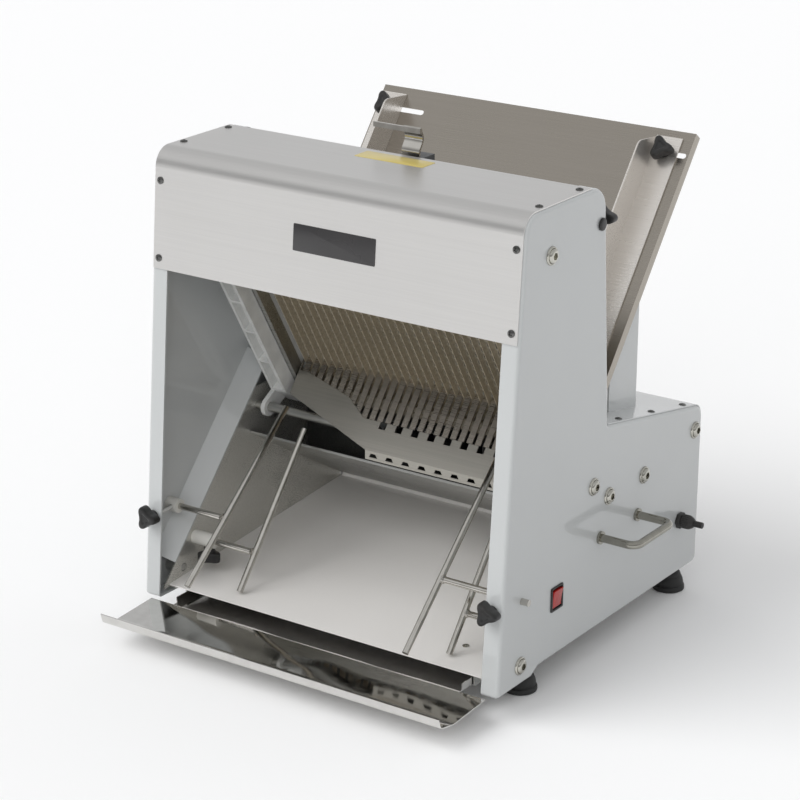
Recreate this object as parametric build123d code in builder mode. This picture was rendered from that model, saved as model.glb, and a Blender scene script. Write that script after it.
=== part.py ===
import math
import os

from build123d import *

os.makedirs("parts", exist_ok=True)

# Body, millimetres and degrees; a length marked "back" runs rearward from the panels' front edge,
# taken at the cover's lower edge
side_room = 38.0
panel_sheet = 2.5
panel_rim = 23.0
panel_bend = 5.0
front_y = -162.0
front_lean = 4.4
lean_z = 447.5
panel_top_z = 591.5
panel_foot_z = 31.0
panel_low_z = 39.5
foot_step_back = 42.0
foot_step_run = 15.0
tall_back = 202.5
tall_lean = 4.3
low_top_z = 294.0
low_slope = 10.5
body_back = 438.7
front_top_radius = 23.0
rear_top_radius = 28.0

# Covers
cover_sheet = 1.5
cover_drop = 144.0
cover_back = 151.2
cover_return = 91.5
cover_inset = 3.0
rear_cover_back = 206.0
rear_cover_notch = 252.0
rear_cover_low_z = 43.0
screw_head = 4.5
screw_rise = 2.0
screw_hole = 1.8
screw_in = 11.0
front_screw_up = 13.0
front_screw_down = 37.0
top_screw_first = 52.0
top_screw_last = 138.0
rear_screw_first = 245.0
rear_screw_pitch = 80.0
wall_screw_first = 65.0
wall_screw_pitch = 75.0

# Cutting plane and chute
cross_back = 210.7
cross_z = 289.5
blade_tilt = 59.0
chute_tilt = 52.0
blade_count = 32
blade_pitch = 12.0
blade_sheet = 0.8
blade_wide = 12.0
blade_room = 45.7
blade_low = -57.0
tooth_room = 107.0
tooth_pitch = 12.0
tooth_deep = 2.0
tooth_first = -4.0

# Blade frames
stroke = 12.0
bar_deep = 17.0
bar_high = 17.0
bar_gap = 2.5
side_bar_wide = 6.0
table_gap = 1.5
tongue_long = 40.0
ear_sheet = 5.0
tab_sheet = 1.6

# Blade guide castings
guide_wide = 24.0
guide_over = 6.0
guide_low = -60.0
guide_front = 47.0
guide_tail = 28.5
rib_low = -22.0
guide_rear = -28.0
guide_web = 6.0
guide_wall = 4.0
rib_pitch = 52.0
rib_sheet = 4.0
pocket_deep = 12.0
running_gap = 0.5
lug_radius = 12.0

# Table, discharge plate and cross bar
edge_finger = 2.0
table_sheet = 2.0
table_top = 35.5
table_low = -60.0
slot_wide = 4.0
slot_top = 10.0
plate_sheet = 1.5
discharge_low = -99.0
discharge_over = 7.0
notch_wide = 10.0
notch_deep = 9.0
notch_pitch = 24.0
hem_high = 12.0
hem_slot_wide = 12.0
hem_slot_high = 5.0
bar_radius = 6.0
bar_along = -73.5
wing_high = -19.0
wing_mid = -39.0
wing_high_in = 15.0
wing_mid_in = 87.0
wing_low_in = 118.0
hem_left_in = 137.0
cut_back = -52.0
plate_gap = 0.4

# Infeed chute
chute_in = 30.0
chute_top = 383.0
chute_sheet = 1.5
chute_flange = 12.0
chute_slot_edge = 3.0
chute_slot_long = 70.0
chute_slot_wide = 7.0
chute_slot_at = 352.0
bracket_in = 8.0
bracket_sheet = 2.5
bracket_front = 268.0
bracket_rear = 334.0
bracket_foot = 16.0

# Infeed guides
guide_sheet = 2.0
infeed_low = 66.0
infeed_top = 373.0
infeed_wall = 41.0
infeed_cut = 27.0
infeed_foot = 36.0
infeed_stud_at = 19.0
right_wall_in = 50.0
left_wall_in = 39.0
slide_gap = 0.2

# Star knobs
knob_lobes = 3
knob_hub = 10.0
knob_lobe = 6.5
knob_reach = 9.5
knob_high = 13.0
knob_edge = 2.0
knob_neck = 7.0
knob_neck_high = 6.0
stud_radius = 3.0
clamp_radius = 4.6

# Press
press_back = 170.9
press_drop = 44.5
press_rod_radius = 6.0
press_rod_out = 1.5
block_x = 5.0
block_wide = 34.0
block_front = 13.0
block_rear = 15.0
block_top = 43.0
block_low = 14.0
press_knob_up = 20.0
strip_wide = 25.0
strip_sheet = 3.0
grip_long = 67.0
grip_high = 6.0
strip_top = 77.0
strip_share = 0.4183
press_plate_wide = 300.0
press_plate_up = 45.0
press_plate_down = 15.0

# Outlet
inner_in = 23.0
inner_sheet = 2.0
outlet_front = -14.3
outlet_z = 44.0
outlet_rise = 4.5
outlet_back = 351.7
outlet_flange = 14.0
inner_slope_low = -23.3
inner_slope_high = 166.7
inner_top_z = 252.0
inner_back = 258.0
inner_strip_z = 150.0
inner_step = 38.0
closing_lift = 18.0
closing_sheet = 2.5
closing_start = 0.12
closing_end = 1.15

# Tray and rails
tray_in = 14.0
tray_gap = 1.0
tray_sheet = 1.2
tray_z = 30.2
tray_back = 190.0
tray_wall = 8.0
tray_front = -131.0
tray_lip_z = 44.0
rail_inset = 48.0
rail_sheet = 3.0
runner_sheet = 2.0
runner_leg = 12.0

# Outlet guide rods
rod_radius = 4.0
front_rod_back = 16.2
front_rod_z = 137.0
rear_rod_back = 39.2
rear_rod_z = 90.0
front_left_in = 91.0
front_right_in = 111.0
rear_left_in = 119.0
rear_right_in = 92.0
rod_stub = 10.0
rear_end_in = 14.0
front_left_slope = 40.0
front_right_slope = 43.0
rear_rod_slope = 51.5
front_rod_up = 167.0
front_rod_down = 99.0
rear_rod_up = 168.0
rear_rod_down = 52.0
bush_radius = 9.0
rear_bush_inset = 57.0
rear_knob_in = 47.0
fit_gap = 0.06

# Drive
crank_along = -140.0
conrod_pin_along = -74.0
shaft_radius = 10.0
disc_radius = 25.0
disc_sheet = 10.0
conrod_pitches = 9.5
conrod_sheet = 11.0
conrod_gap = 0.5
conrod_eye = 11.0
conrod_small_eye = 9.0
pin_radius = 4.0
bearing_x = 62.0
bearing_wide = 24.0
bearing_radius = 22.0
bearing_foot = 26.0
pulley_wide = 16.0
crank_pulley_radius = 40.0
motor_pulley_radius = 20.0
belt_wide = 10.0
belt_sheet = 6.0
motor_back = 384.0
motor_z = 150.0
motor_radius = 47.0
motor_x = 36.0
motor_room = 33.6
motor_shaft_radius = 7.0
cradle_gap = 0.4
cradle_sheet = 3.0
cradle_z = 78.0
cradle_front = 154.0
cradle_front_z = 196.0
cradle_turn = 350.0
cradle_back = 431.0
cheek_front = 272.0
cheek_top_z = 240.0

# Panel bolts: rearward place and height
bolt_cup = 11.0
bolt_cup_high = 3.0
bolt_dome = 7.5
bolt_dome_high = 4.5
bolt_radius = 5.0
bolt_hole = 5.25
spacer_radius = 9.0
guide_bolt_down = 17.5
lower_bolt_along = -72.6
lower_bolt_ahead = 46.5
outlet_bolt_back = 15.0
outlet_bolt_z = 56.5
cradle_bolt_back = 292.4
cradle_bolt_z = 203.1
rear_bolt_back = 419.7
rear_bolt_z = 222.5

# Switch, gland, handles and feet
switch_back = 93.0
switch_z = 113.8
switch_wide = 26.0
switch_high = 30.5
switch_rim = 2.5
switch_proud = 2.0
rocker_deep = 16.0
rocker_pin = 1.5
rocker_pin_in = 1.5
rocker_pin_out = 0.8
gland_back = 387.7
gland_z = 112.0
gland_radius = 11.0
gland_out = 22.0
cord_radius = 4.0
cord_out = 12.0
handle_front = 190.3
handle_rear = 278.7
handle_z = 156.0
handle_out = 49.0
handle_radius = 5.0
handle_bend = 12.0
foot_in = 29.0
front_foot_back = 63.7
rear_foot_back = 421.7
foot_radius = 20.5
foot_high = 25.0
foot_stud = 4.0

# Widths, worked outward from the blade pack
blade_half = (blade_count - 1) / 2 * blade_pitch
table_half = blade_half + slot_wide / 2 + edge_finger
frame_half = table_half + table_gap + side_bar_wide
guide_inner = frame_half + running_gap
guide_outer = guide_inner + guide_wide
half = guide_outer + side_room
inside = half - panel_sheet
rim_in = half - panel_rim
inner_x = half - inner_in
cradle_half = inner_x - inner_sheet - cradle_gap
chute_half = half - chute_in
chute_slot_out = chute_half - chute_slot_edge
chute_slot_in = chute_slot_out - chute_slot_long
bracket_x = chute_half - bracket_in
right_wall_x = chute_half - right_wall_in
left_wall_x = left_wall_in - chute_half
rail_in = half - rail_inset
tray_half = half - tray_in
tray_body_half = rail_in - tray_gap
foot_x = half - foot_in
front_left_x = front_left_in - half
front_right_x = half - front_right_in
rear_left_x = rear_left_in - half
rear_right_x = half - rear_right_in
rear_rod_end = half - rear_end_in
rear_bush_in = half - rear_bush_inset
rear_knob_x = half - rear_knob_in
discharge_right = table_half + discharge_over
wing_high_x = wing_high_in - table_half
wing_mid_x = wing_mid_in - table_half
wing_low_x = wing_low_in - table_half
hem_left = hem_left_in - table_half
disc_x = conrod_pitches * blade_pitch - conrod_sheet / 2 - conrod_gap - disc_sheet
motor_long = cradle_half - motor_room - motor_x

# Heights, worked down from the panels' top
cross_y = front_y + cross_back
sin_b = math.sin(math.radians(blade_tilt))
cos_b = math.cos(math.radians(blade_tilt))
sin_c = math.sin(math.radians(chute_tilt))
cos_c = math.cos(math.radians(chute_tilt))
tan_front = math.tan(math.radians(front_lean))
tan_tall = math.tan(math.radians(tall_lean))
tan_low = math.tan(math.radians(low_slope))
tan_out = math.tan(math.radians(outlet_rise))
cover_low_z = panel_top_z - cover_drop
cover_return_z = panel_top_z - cover_return
press_z = panel_top_z - press_drop
blade_top = (panel_top_z - blade_room - cross_z) / sin_b
guide_top = blade_top + guide_over
guide_bolt_along = guide_top - guide_bolt_down
tooth_count = int((blade_top - tooth_room - tooth_first) / tooth_pitch)


def front_line(z):
    """Y of the panels' front edge at height z."""
    return front_y + (z - lean_z) * tan_front


def low_line(y):
    """Height of the panels' low top edge at y."""
    return low_top_z - (y - front_y - tall_back) * tan_low


def outlet_line(y):
    """Height of the outlet plate's upper face at y."""
    return outlet_z + (y - front_y - outlet_front) * tan_out


def on_blade(along, ahead):
    """(Y, Z) of a place up along the blades and ahead of the cutting plane."""
    return (cross_y - along * cos_b - ahead * sin_b, cross_z + along * sin_b - ahead * cos_b)


def on_chute(along, above):
    """(Y, Z) of a place up along the chute and above its face."""
    return (cross_y + along * cos_c - above * sin_c, cross_z + along * sin_c + above * cos_c)


def blade_plane(ahead):
    """Plane of the blades: local x across, local y up along the blades, normal to the front."""
    return Plane(origin=(0, *on_blade(0, ahead)), x_dir=(1, 0, 0), z_dir=(0, -sin_b, -cos_b))


def blade_side(x):
    """Side plane at x: local x up along the blades, local y ahead of the cutting plane."""
    return Plane(origin=(x, cross_y, cross_z), x_dir=(0, -cos_b, sin_b), z_dir=(1, 0, 0))


def chute_plane(above):
    """Plane of the chute: local x across, local y up along the chute, normal upward."""
    return Plane(origin=(0, *on_chute(0, above)), x_dir=(1, 0, 0), z_dir=(0, -sin_c, cos_c))


def chute_side(x):
    """Side plane at x: local x up along the chute, local y above its face."""
    return Plane(origin=(x, cross_y, cross_z), x_dir=(0, cos_c, sin_c), z_dir=(1, 0, 0))


def side_plane(x):
    """Upright plane at x: local x is Y, local y is Z."""
    return Plane.YZ.offset(x)


def save(piece, name):
    """Name a finished piece and write it."""
    piece.part.label = name
    export_step(piece.part, "parts/" + name + ".step")


def box(x0, x1, y0, y1, z0, z1, mode=Mode.ADD):
    """A block between two corners, in the open part."""
    with BuildSketch(Plane.XY.offset(z0)) as outline:
        with Locations(((x0 + x1) / 2, (y0 + y1) / 2)):
            Rectangle(abs(x1 - x0), abs(y1 - y0))
    extrude(outline.sketch, amount=z1 - z0, mode=mode)


def slab(plane, points, thick, mode=Mode.ADD):
    """A flat piece with the given corners, in the open part."""
    with BuildSketch(plane) as outline:
        Polygon(*points, align=None)
    extrude(outline.sketch, amount=thick, mode=mode)


def rod(plane, at, radius, long, mode=Mode.ADD):
    """A round bar from a plane, in the open part."""
    with BuildSketch(plane) as outline:
        with Locations(at):
            Circle(radius)
    extrude(outline.sketch, amount=long, mode=mode)


guide_bolt = on_blade(guide_bolt_along, 0)
lower_bolt = on_blade(lower_bolt_along, lower_bolt_ahead)
cross_bar_at = on_chute(bar_along, -plate_sheet - bar_radius - slide_gap)
outlet_bolt = (front_y + outlet_bolt_back, outlet_bolt_z)
cradle_bolt = (front_y + cradle_bolt_back, cradle_bolt_z)
rear_bolt = (front_y + rear_bolt_back, rear_bolt_z)
bolt_places = [guide_bolt, lower_bolt, cross_bar_at, outlet_bolt, cradle_bolt, rear_bolt]
press_at = (front_y + press_back, press_z)
front_rod_at = (front_y + front_rod_back, front_rod_z)
rear_rod_at = (front_y + rear_rod_back, rear_rod_z)
tall_corner = (front_y + tall_back, low_top_z)
panel_corners = [
    (front_line(panel_foot_z), panel_foot_z),
    (front_line(panel_top_z), panel_top_z),
    (front_y + tall_back - (panel_top_z - low_top_z) * tan_tall, panel_top_z),
    tall_corner,
    (front_y + body_back, low_line(front_y + body_back)),
    (front_y + body_back, panel_low_z),
    (front_y + foot_step_back + foot_step_run, panel_low_z),
    (front_y + foot_step_back, panel_foot_z),
]
panel_radii = [4, front_top_radius, rear_top_radius, 3, 18, 10, 10, 6]


# Side panels: folded pans with a rim turned inward all round
for side, name in ((-1, "side_panel_left"), (1, "side_panel_right")):
    with BuildPart() as panel:
        with BuildSketch(side_plane(side * half)):
            with BuildLine():
                FilletPolyline(*panel_corners, radius=panel_radii, close=True)
            make_face()
        extrude(amount=-side * panel_rim)
        outer_face = panel.faces().sort_by(Axis.X)[-1 if side > 0 else 0]
        fillet(outer_face.edges(), radius=panel_bend)
        with BuildSketch(side_plane(side * inside)):
            with BuildLine():
                FilletPolyline(*panel_corners, radius=panel_radii, close=True)
            make_face()
            offset(amount=-panel_sheet, mode=Mode.REPLACE)
        extrude(amount=-side * panel_rim, mode=Mode.SUBTRACT)
        with BuildSketch(side_plane(side * half)):
            with Locations(*bolt_places):
                Circle(bolt_hole)
            with Locations(press_at):
                Circle(press_rod_radius + fit_gap)
            with Locations(front_rod_at):
                Circle(rod_radius + fit_gap)
        extrude(amount=-side * panel_sheet, mode=Mode.SUBTRACT)
        with BuildSketch(Plane.XZ.offset(-front_line(front_rod_z) + panel_sheet)):
            with Locations((side * (rim_in + inside) / 2, front_rod_z)):
                Circle(stud_radius + 0.4)
        extrude(amount=-3 * panel_sheet, mode=Mode.SUBTRACT)
        if side > 0:
            with BuildSketch(side_plane(half)):
                with Locations((front_y + switch_back, switch_z)):
                    Rectangle(switch_wide - 2 * switch_rim + 1, switch_high - 2 * switch_rim + 1)
                with Locations((front_y + gland_back, gland_z)):
                    Circle(gland_radius - 4)
            extrude(amount=-panel_sheet, mode=Mode.SUBTRACT)
            with BuildSketch(Plane.XZ.offset(-press_at[0])):
                with Locations(((rim_in + inside) / 2, press_z)):
                    Circle(stud_radius + 0.4)
            extrude(amount=-4 * panel_rim, mode=Mode.SUBTRACT)
    save(panel, name)


# Top and front cover: one bent sheet laid over the panels' front and top rims, turned down at the rear
with BuildPart() as top_front_cover:
    cover_half = half - cover_inset
    with BuildSketch(side_plane(-cover_half)):
        with BuildLine():
            FilletPolyline(
                (front_line(cover_low_z), cover_low_z),
                (front_line(panel_top_z), panel_top_z),
                (front_y + cover_back, panel_top_z),
                radius=front_top_radius,
            )
            offset(amount=cover_sheet, side=Side.LEFT)
        make_face()
    extrude(amount=2 * cover_half)
    return_y = front_y + cover_back
    box(-rim_in + 1, rim_in - 1, return_y - cover_sheet, return_y, cover_return_z, panel_top_z)
    with BuildSketch(Plane.XZ.offset(-front_y + 20)):
        for x in (-half + screw_in, half - screw_in):
            for z in (cover_low_z + front_screw_up, panel_top_z - front_screw_down):
                with Locations((x, z)):
                    Circle(screw_hole)
    extrude(amount=-60, mode=Mode.SUBTRACT)
save(top_front_cover, "top_front_cover")


# Low rear cover: a sloping top and a rear wall, laid over the panels' low rims
with BuildPart() as rear_cover:
    with BuildSketch(side_plane(-cover_half)):
        with BuildLine():
            FilletPolyline(
                (front_y + rear_cover_back, low_line(front_y + rear_cover_back)),
                (front_y + body_back, low_line(front_y + body_back)),
                (front_y + body_back, rear_cover_low_z),
                radius=18,
            )
            offset(amount=cover_sheet, side=Side.LEFT)
        make_face()
    extrude(amount=2 * cover_half)
    notch_half = guide_outer + 3
    notch_back = front_y + rear_cover_notch
    box(-notch_half, notch_half, front_y, notch_back, rear_cover_low_z, panel_top_z, Mode.SUBTRACT)
save(rear_cover, "rear_cover")


# Cover screws: four in front, four on top, six on the low rear cover, six on its rear wall
with BuildPart() as cover_screws:
    front_normal = (0, -math.cos(math.radians(front_lean)), math.sin(math.radians(front_lean)))
    for x in (-half + screw_in, half - screw_in):
        for z in (cover_low_z + front_screw_up, panel_top_z - front_screw_down):
            seat = Plane(origin=(x, front_line(z) - cover_sheet / math.cos(math.radians(front_lean)), z),
                         x_dir=(1, 0, 0), z_dir=front_normal)
            rod(seat, (0, 0), screw_head, screw_rise)
        for back in (top_screw_first, top_screw_last):
            rod(Plane.XY.offset(panel_top_z + cover_sheet), (x, front_y + back), screw_head, screw_rise)
        for row in range(3):
            y = front_y + rear_screw_first + row * rear_screw_pitch
            lift = cover_sheet / math.cos(math.radians(low_slope))
            seat = Plane(origin=(x, y, low_line(y) + lift), x_dir=(1, 0, 0),
                         z_dir=(0, math.sin(math.radians(low_slope)), math.cos(math.radians(low_slope))))
            rod(seat, (0, 0), screw_head, screw_rise)
        for row in range(3):
            z = wall_screw_first + row * wall_screw_pitch
            rod(Plane.XZ.offset(-front_y - body_back - cover_sheet), (x, z), screw_head, -screw_rise)
save(cover_screws, "cover_screws")


# Domed panel bolts on cup washers, the same places on both sides
with BuildPart() as panel_bolts:
    for side in (-1, 1):
        for place in bolt_places:
            shank = panel_sheet
            if place is guide_bolt:
                shank = half - guide_inner - guide_wide + guide_web - running_gap
            if place is lower_bolt or place is outlet_bolt:
                shank = half - inner_x + inner_sheet
            if place is cradle_bolt or place is rear_bolt:
                shank = half - cradle_half + cradle_sheet
            face = Plane(origin=(side * half, place[0], place[1]), x_dir=(0, 1, 0), z_dir=(side, 0, 0))
            with BuildSketch(face):
                Circle(bolt_cup)
            extrude(amount=bolt_cup_high, taper=35)
            with BuildSketch(face.offset(bolt_cup_high)):
                Circle(bolt_dome)
            extrude(amount=bolt_dome_high, taper=30)
            rod(face, (0, 0), bolt_radius, -shank)
save(panel_bolts, "panel_bolts")


# Spacer tubes between the panels and what the bolts hold
with BuildPart() as bolt_spacers:
    for side in (-1, 1):
        ends = [(guide_bolt, guide_inner + guide_wide), (lower_bolt, inner_x), (outlet_bolt, inner_x),
                (cradle_bolt, cradle_half), (rear_bolt, cradle_half)]
        for place, inner_end in ends:
            with BuildSketch(side_plane(side * inner_end)):
                with Locations(place):
                    Circle(spacer_radius)
                    Circle(bolt_hole, mode=Mode.SUBTRACT)
            extrude(amount=side * (inside - inner_end))
save(bolt_spacers, "bolt_spacers")


# Cross bar under the discharge plate, from panel to panel
with BuildPart() as cross_bar:
    rod(side_plane(-inside), cross_bar_at, bar_radius, 2 * inside)
save(cross_bar, "cross_bar")


# Base rails on the panels' low rims, with the tray's runners hung from their inner edges
with BuildPart() as base_rails:
    rail_z = panel_low_z + panel_sheet
    for side in (-1, 1):
        rail_front = front_y + foot_step_back + foot_step_run + 6
        rail_back = front_y + body_back - 12
        box(side * rail_in, side * (inside - 1), rail_front, rail_back, rail_z, rail_z + rail_sheet)
        runner_z = tray_z - tray_sheet - slide_gap
        runner_low = runner_z - runner_sheet
        runner_front = front_y + outlet_front + 6
        runner_back = front_y + tray_back + 20
        box(side * rail_in, side * (rail_in + runner_sheet), runner_front, runner_back, runner_low, rail_z)
        box(side * (rail_in - runner_leg), side * rail_in, runner_front, runner_back, runner_low, runner_z)
        for back in (front_foot_back, rear_foot_back):
            stud_at = (side * foot_x, front_y + back)
            rod(Plane.XY.offset(rail_z), stud_at, foot_stud + 0.25, rail_sheet, Mode.SUBTRACT)
save(base_rails, "base_rails")


# Inner side plates beside the outlet, each with a flange under the outlet plate
slope_low = (front_y + inner_slope_low, outlet_z - 2)
slope_high = (front_y + inner_slope_high, inner_top_z)
with BuildPart() as inner_side_plates:
    for side in (-1, 1):
        under = plate_sheet + 0.1
        corners = [
            (slope_low[0], outlet_line(slope_low[0]) - under - inner_sheet),
            slope_low,
            slope_high,
            (front_y + inner_back, inner_top_z),
            (front_y + inner_back + inner_step, inner_strip_z),
            (front_y + outlet_back, inner_strip_z),
            (front_y + outlet_back, outlet_line(front_y + outlet_back) - under - inner_sheet),
        ]
        slab(side_plane(side * inner_x), corners, -side * inner_sheet)
        front_edge = front_y + outlet_front + 1
        back_edge = front_y + outlet_back
        flange = [
            (front_edge, outlet_line(front_edge) - under),
            (back_edge, outlet_line(back_edge) - under),
            (back_edge, outlet_line(back_edge) - under - inner_sheet),
            (front_edge, outlet_line(front_edge) - under - inner_sheet),
        ]
        slab(side_plane(side * inner_x), flange, -side * outlet_flange)
        with BuildSketch(side_plane(side * inner_x)):
            with Locations(cross_bar_at):
                Circle(bar_radius + 0.25)
            with Locations(lower_bolt, outlet_bolt):
                Circle(bolt_hole)
            with Locations(rear_rod_at):
                Circle(rod_radius + fit_gap)
        extrude(amount=-side * inner_sheet, mode=Mode.SUBTRACT)
save(inner_side_plates, "inner_side_plates")


# Closing strips that slant from the panels down to the inner plates
slope_turn = math.atan2(slope_high[1] - slope_low[1], slope_high[0] - slope_low[0])
slope_dir = (0, math.cos(slope_turn), math.sin(slope_turn))
with BuildPart() as closing_strips:
    for side in (-1, 1):
        start_y = slope_low[0] + closing_start * (slope_high[0] - slope_low[0])
        start_z = slope_low[1] + closing_start * (slope_high[1] - slope_low[1])
        start = Plane(origin=(0, start_y, start_z), x_dir=(1, 0, 0), z_dir=slope_dir)
        up = -1 if start.y_dir.Z < 0 else 1
        section = [
            (side * (inner_x - inner_sheet), up * 0.2),
            (side * (inside - 0.1), up * closing_lift),
            (side * (inside - 0.1), up * (closing_lift + closing_sheet)),
            (side * (inner_x - inner_sheet), up * (closing_sheet + 0.2)),
        ]
        slab(start, section, (closing_end - closing_start) * math.dist(slope_low, slope_high))
save(closing_strips, "closing_strips")


# Outlet plate, rising gently to the rear
with BuildPart() as outlet_plate:
    plate_half = inner_x - inner_sheet - 0.2
    front_edge = front_y + outlet_front
    back_edge = front_y + outlet_back
    outline = [
        (front_edge, outlet_line(front_edge)),
        (back_edge, outlet_line(back_edge)),
        (back_edge, outlet_line(back_edge) - plate_sheet),
        (front_edge, outlet_line(front_edge) - plate_sheet),
    ]
    slab(side_plane(-plate_half), outline, 2 * plate_half)
save(outlet_plate, "outlet_plate")


# Front tray: a drawer body under the outlet plate and a wide trough with an upturned lip in front
with BuildPart() as front_tray:
    neck_y = front_line(tray_z) - 4
    lip_y = front_y + tray_front
    tray_end = front_y + tray_back
    wall_z = tray_z + tray_wall
    box(-tray_body_half, tray_body_half, neck_y - 1, tray_end, tray_z - tray_sheet, tray_z)
    for side in (-1, 1):
        wall_in = side * (tray_body_half - tray_sheet)
        box(side * tray_body_half, wall_in, neck_y + 6, tray_end, tray_z, wall_z)
    box(-tray_body_half, tray_body_half, tray_end - tray_sheet, tray_end, tray_z, wall_z)
    with BuildSketch(side_plane(-tray_half)):
        with BuildLine():
            FilletPolyline(
                (neck_y, tray_z), (lip_y + 30, tray_z - 4), (lip_y + 4, tray_z + 1), (lip_y, tray_lip_z),
                radius=[20, 6],
            )
            offset(amount=tray_sheet, side=Side.LEFT)
        make_face()
    extrude(amount=2 * tray_half)
save(front_tray, "front_tray")


# Slotted table: fingers between the blades
blade_places = [index * blade_pitch - blade_half for index in range(blade_count)]
with BuildPart() as slotted_table:
    outline = [
        (table_half, table_top), (table_half, table_low), (wing_low_x, table_low), (wing_mid_x, wing_mid),
        (wing_high_x, wing_high), (-table_half, wing_high), (-table_half, table_top),
    ]
    slab(chute_plane(0), outline, -table_sheet)
    with BuildSketch(chute_plane(0)):
        for x in blade_places:
            with Locations((x, (slot_top + table_low - 1) / 2)):
                Rectangle(slot_wide, slot_top - table_low + 1)
    extrude(amount=-table_sheet, mode=Mode.SUBTRACT)
save(slotted_table, "slotted_table")


# Discharge plate: notched upper edge, slotted hem, left end cut back to the blade guide
with BuildPart() as discharge_plate:
    gap = plate_gap
    outline = [
        (discharge_right, table_low - gap), (discharge_right, discharge_low), (hem_left, discharge_low),
        (-table_half, cut_back), (-table_half, wing_high - gap), (wing_high_x, wing_high - gap),
        (wing_mid_x, wing_mid - gap), (wing_low_x, table_low - gap),
    ]
    slab(chute_plane(0), outline, -plate_sheet)
    notch_count = int((discharge_right - hem_left) / notch_pitch)
    first_notch = hem_left + notch_pitch / 2
    with BuildSketch(chute_plane(0)):
        for index in range(notch_count):
            with Locations((first_notch + index * notch_pitch, table_low - gap - notch_deep / 2)):
                Rectangle(notch_wide, notch_deep)
    extrude(amount=-plate_sheet, mode=Mode.SUBTRACT)
    hem_y, hem_z = on_chute(discharge_low, 0)
    box(hem_left, discharge_right, hem_y, hem_y + plate_sheet, hem_z - hem_high, hem_z)
    with BuildSketch(Plane.XZ.offset(-hem_y)):
        for index in range(notch_count):
            with Locations((first_notch + index * notch_pitch, hem_z - hem_high / 2)):
                Trapezoid(hem_slot_wide, hem_slot_high, 65)
    extrude(amount=-plate_sheet, mode=Mode.SUBTRACT)
save(discharge_plate, "discharge_plate")


# Blade guide castings: two grooves for the frames, a ribbed front and a lug round the cross bar
frame_front_near = blade_wide / 2 + bar_gap
frame_front_far = frame_front_near + bar_deep
groove_far = frame_front_far + running_gap
groove_near = frame_front_near - running_gap
for side, name in ((-1, "blade_guide_left"), (1, "blade_guide_right")):
    with BuildPart() as casting:
        body = [
            (guide_low, guide_rear), (guide_top, guide_rear), (guide_top, guide_front),
            (rib_low, guide_front), (guide_low, guide_tail),
        ]
        slab(blade_side(side * guide_inner), body, side * guide_wide)
        with BuildSketch(blade_side(side * guide_inner)):
            with Locations(((guide_low + guide_top) / 2, (groove_near + groove_far) / 2),
                           ((guide_low + guide_top) / 2, -(groove_near + groove_far) / 2)):
                Rectangle(guide_top - guide_low, groove_far - groove_near)
        extrude(amount=side * (guide_wide - guide_web), mode=Mode.SUBTRACT)
        rib_count = int((guide_top - rib_low - rib_sheet) / rib_pitch)
        pocket_long = (guide_top - rib_low - rib_sheet) / rib_count - rib_sheet
        with BuildSketch(blade_plane(guide_front)):
            for index in range(rib_count):
                middle = rib_low + rib_sheet + pocket_long / 2 + index * (pocket_long + rib_sheet)
                with Locations((side * (guide_inner + guide_wide / 2), middle)):
                    Rectangle(guide_wide - 2 * guide_wall, pocket_long)
        extrude(amount=-pocket_deep, mode=Mode.SUBTRACT)
        with BuildSketch(side_plane(side * guide_outer)):
            with Locations(cross_bar_at):
                Circle(lug_radius)
            with Locations(on_blade(rib_low - lug_radius, guide_tail)):
                Circle(lug_radius)
            make_hull()
        extrude(amount=-side * guide_web)
        with BuildSketch(side_plane(side * guide_outer)):
            with Locations(cross_bar_at):
                Circle(bar_radius + 0.25)
            with Locations(guide_bolt):
                Circle(bolt_hole)
        extrude(amount=-side * guide_web, mode=Mode.SUBTRACT)
    save(casting, name)


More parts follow.
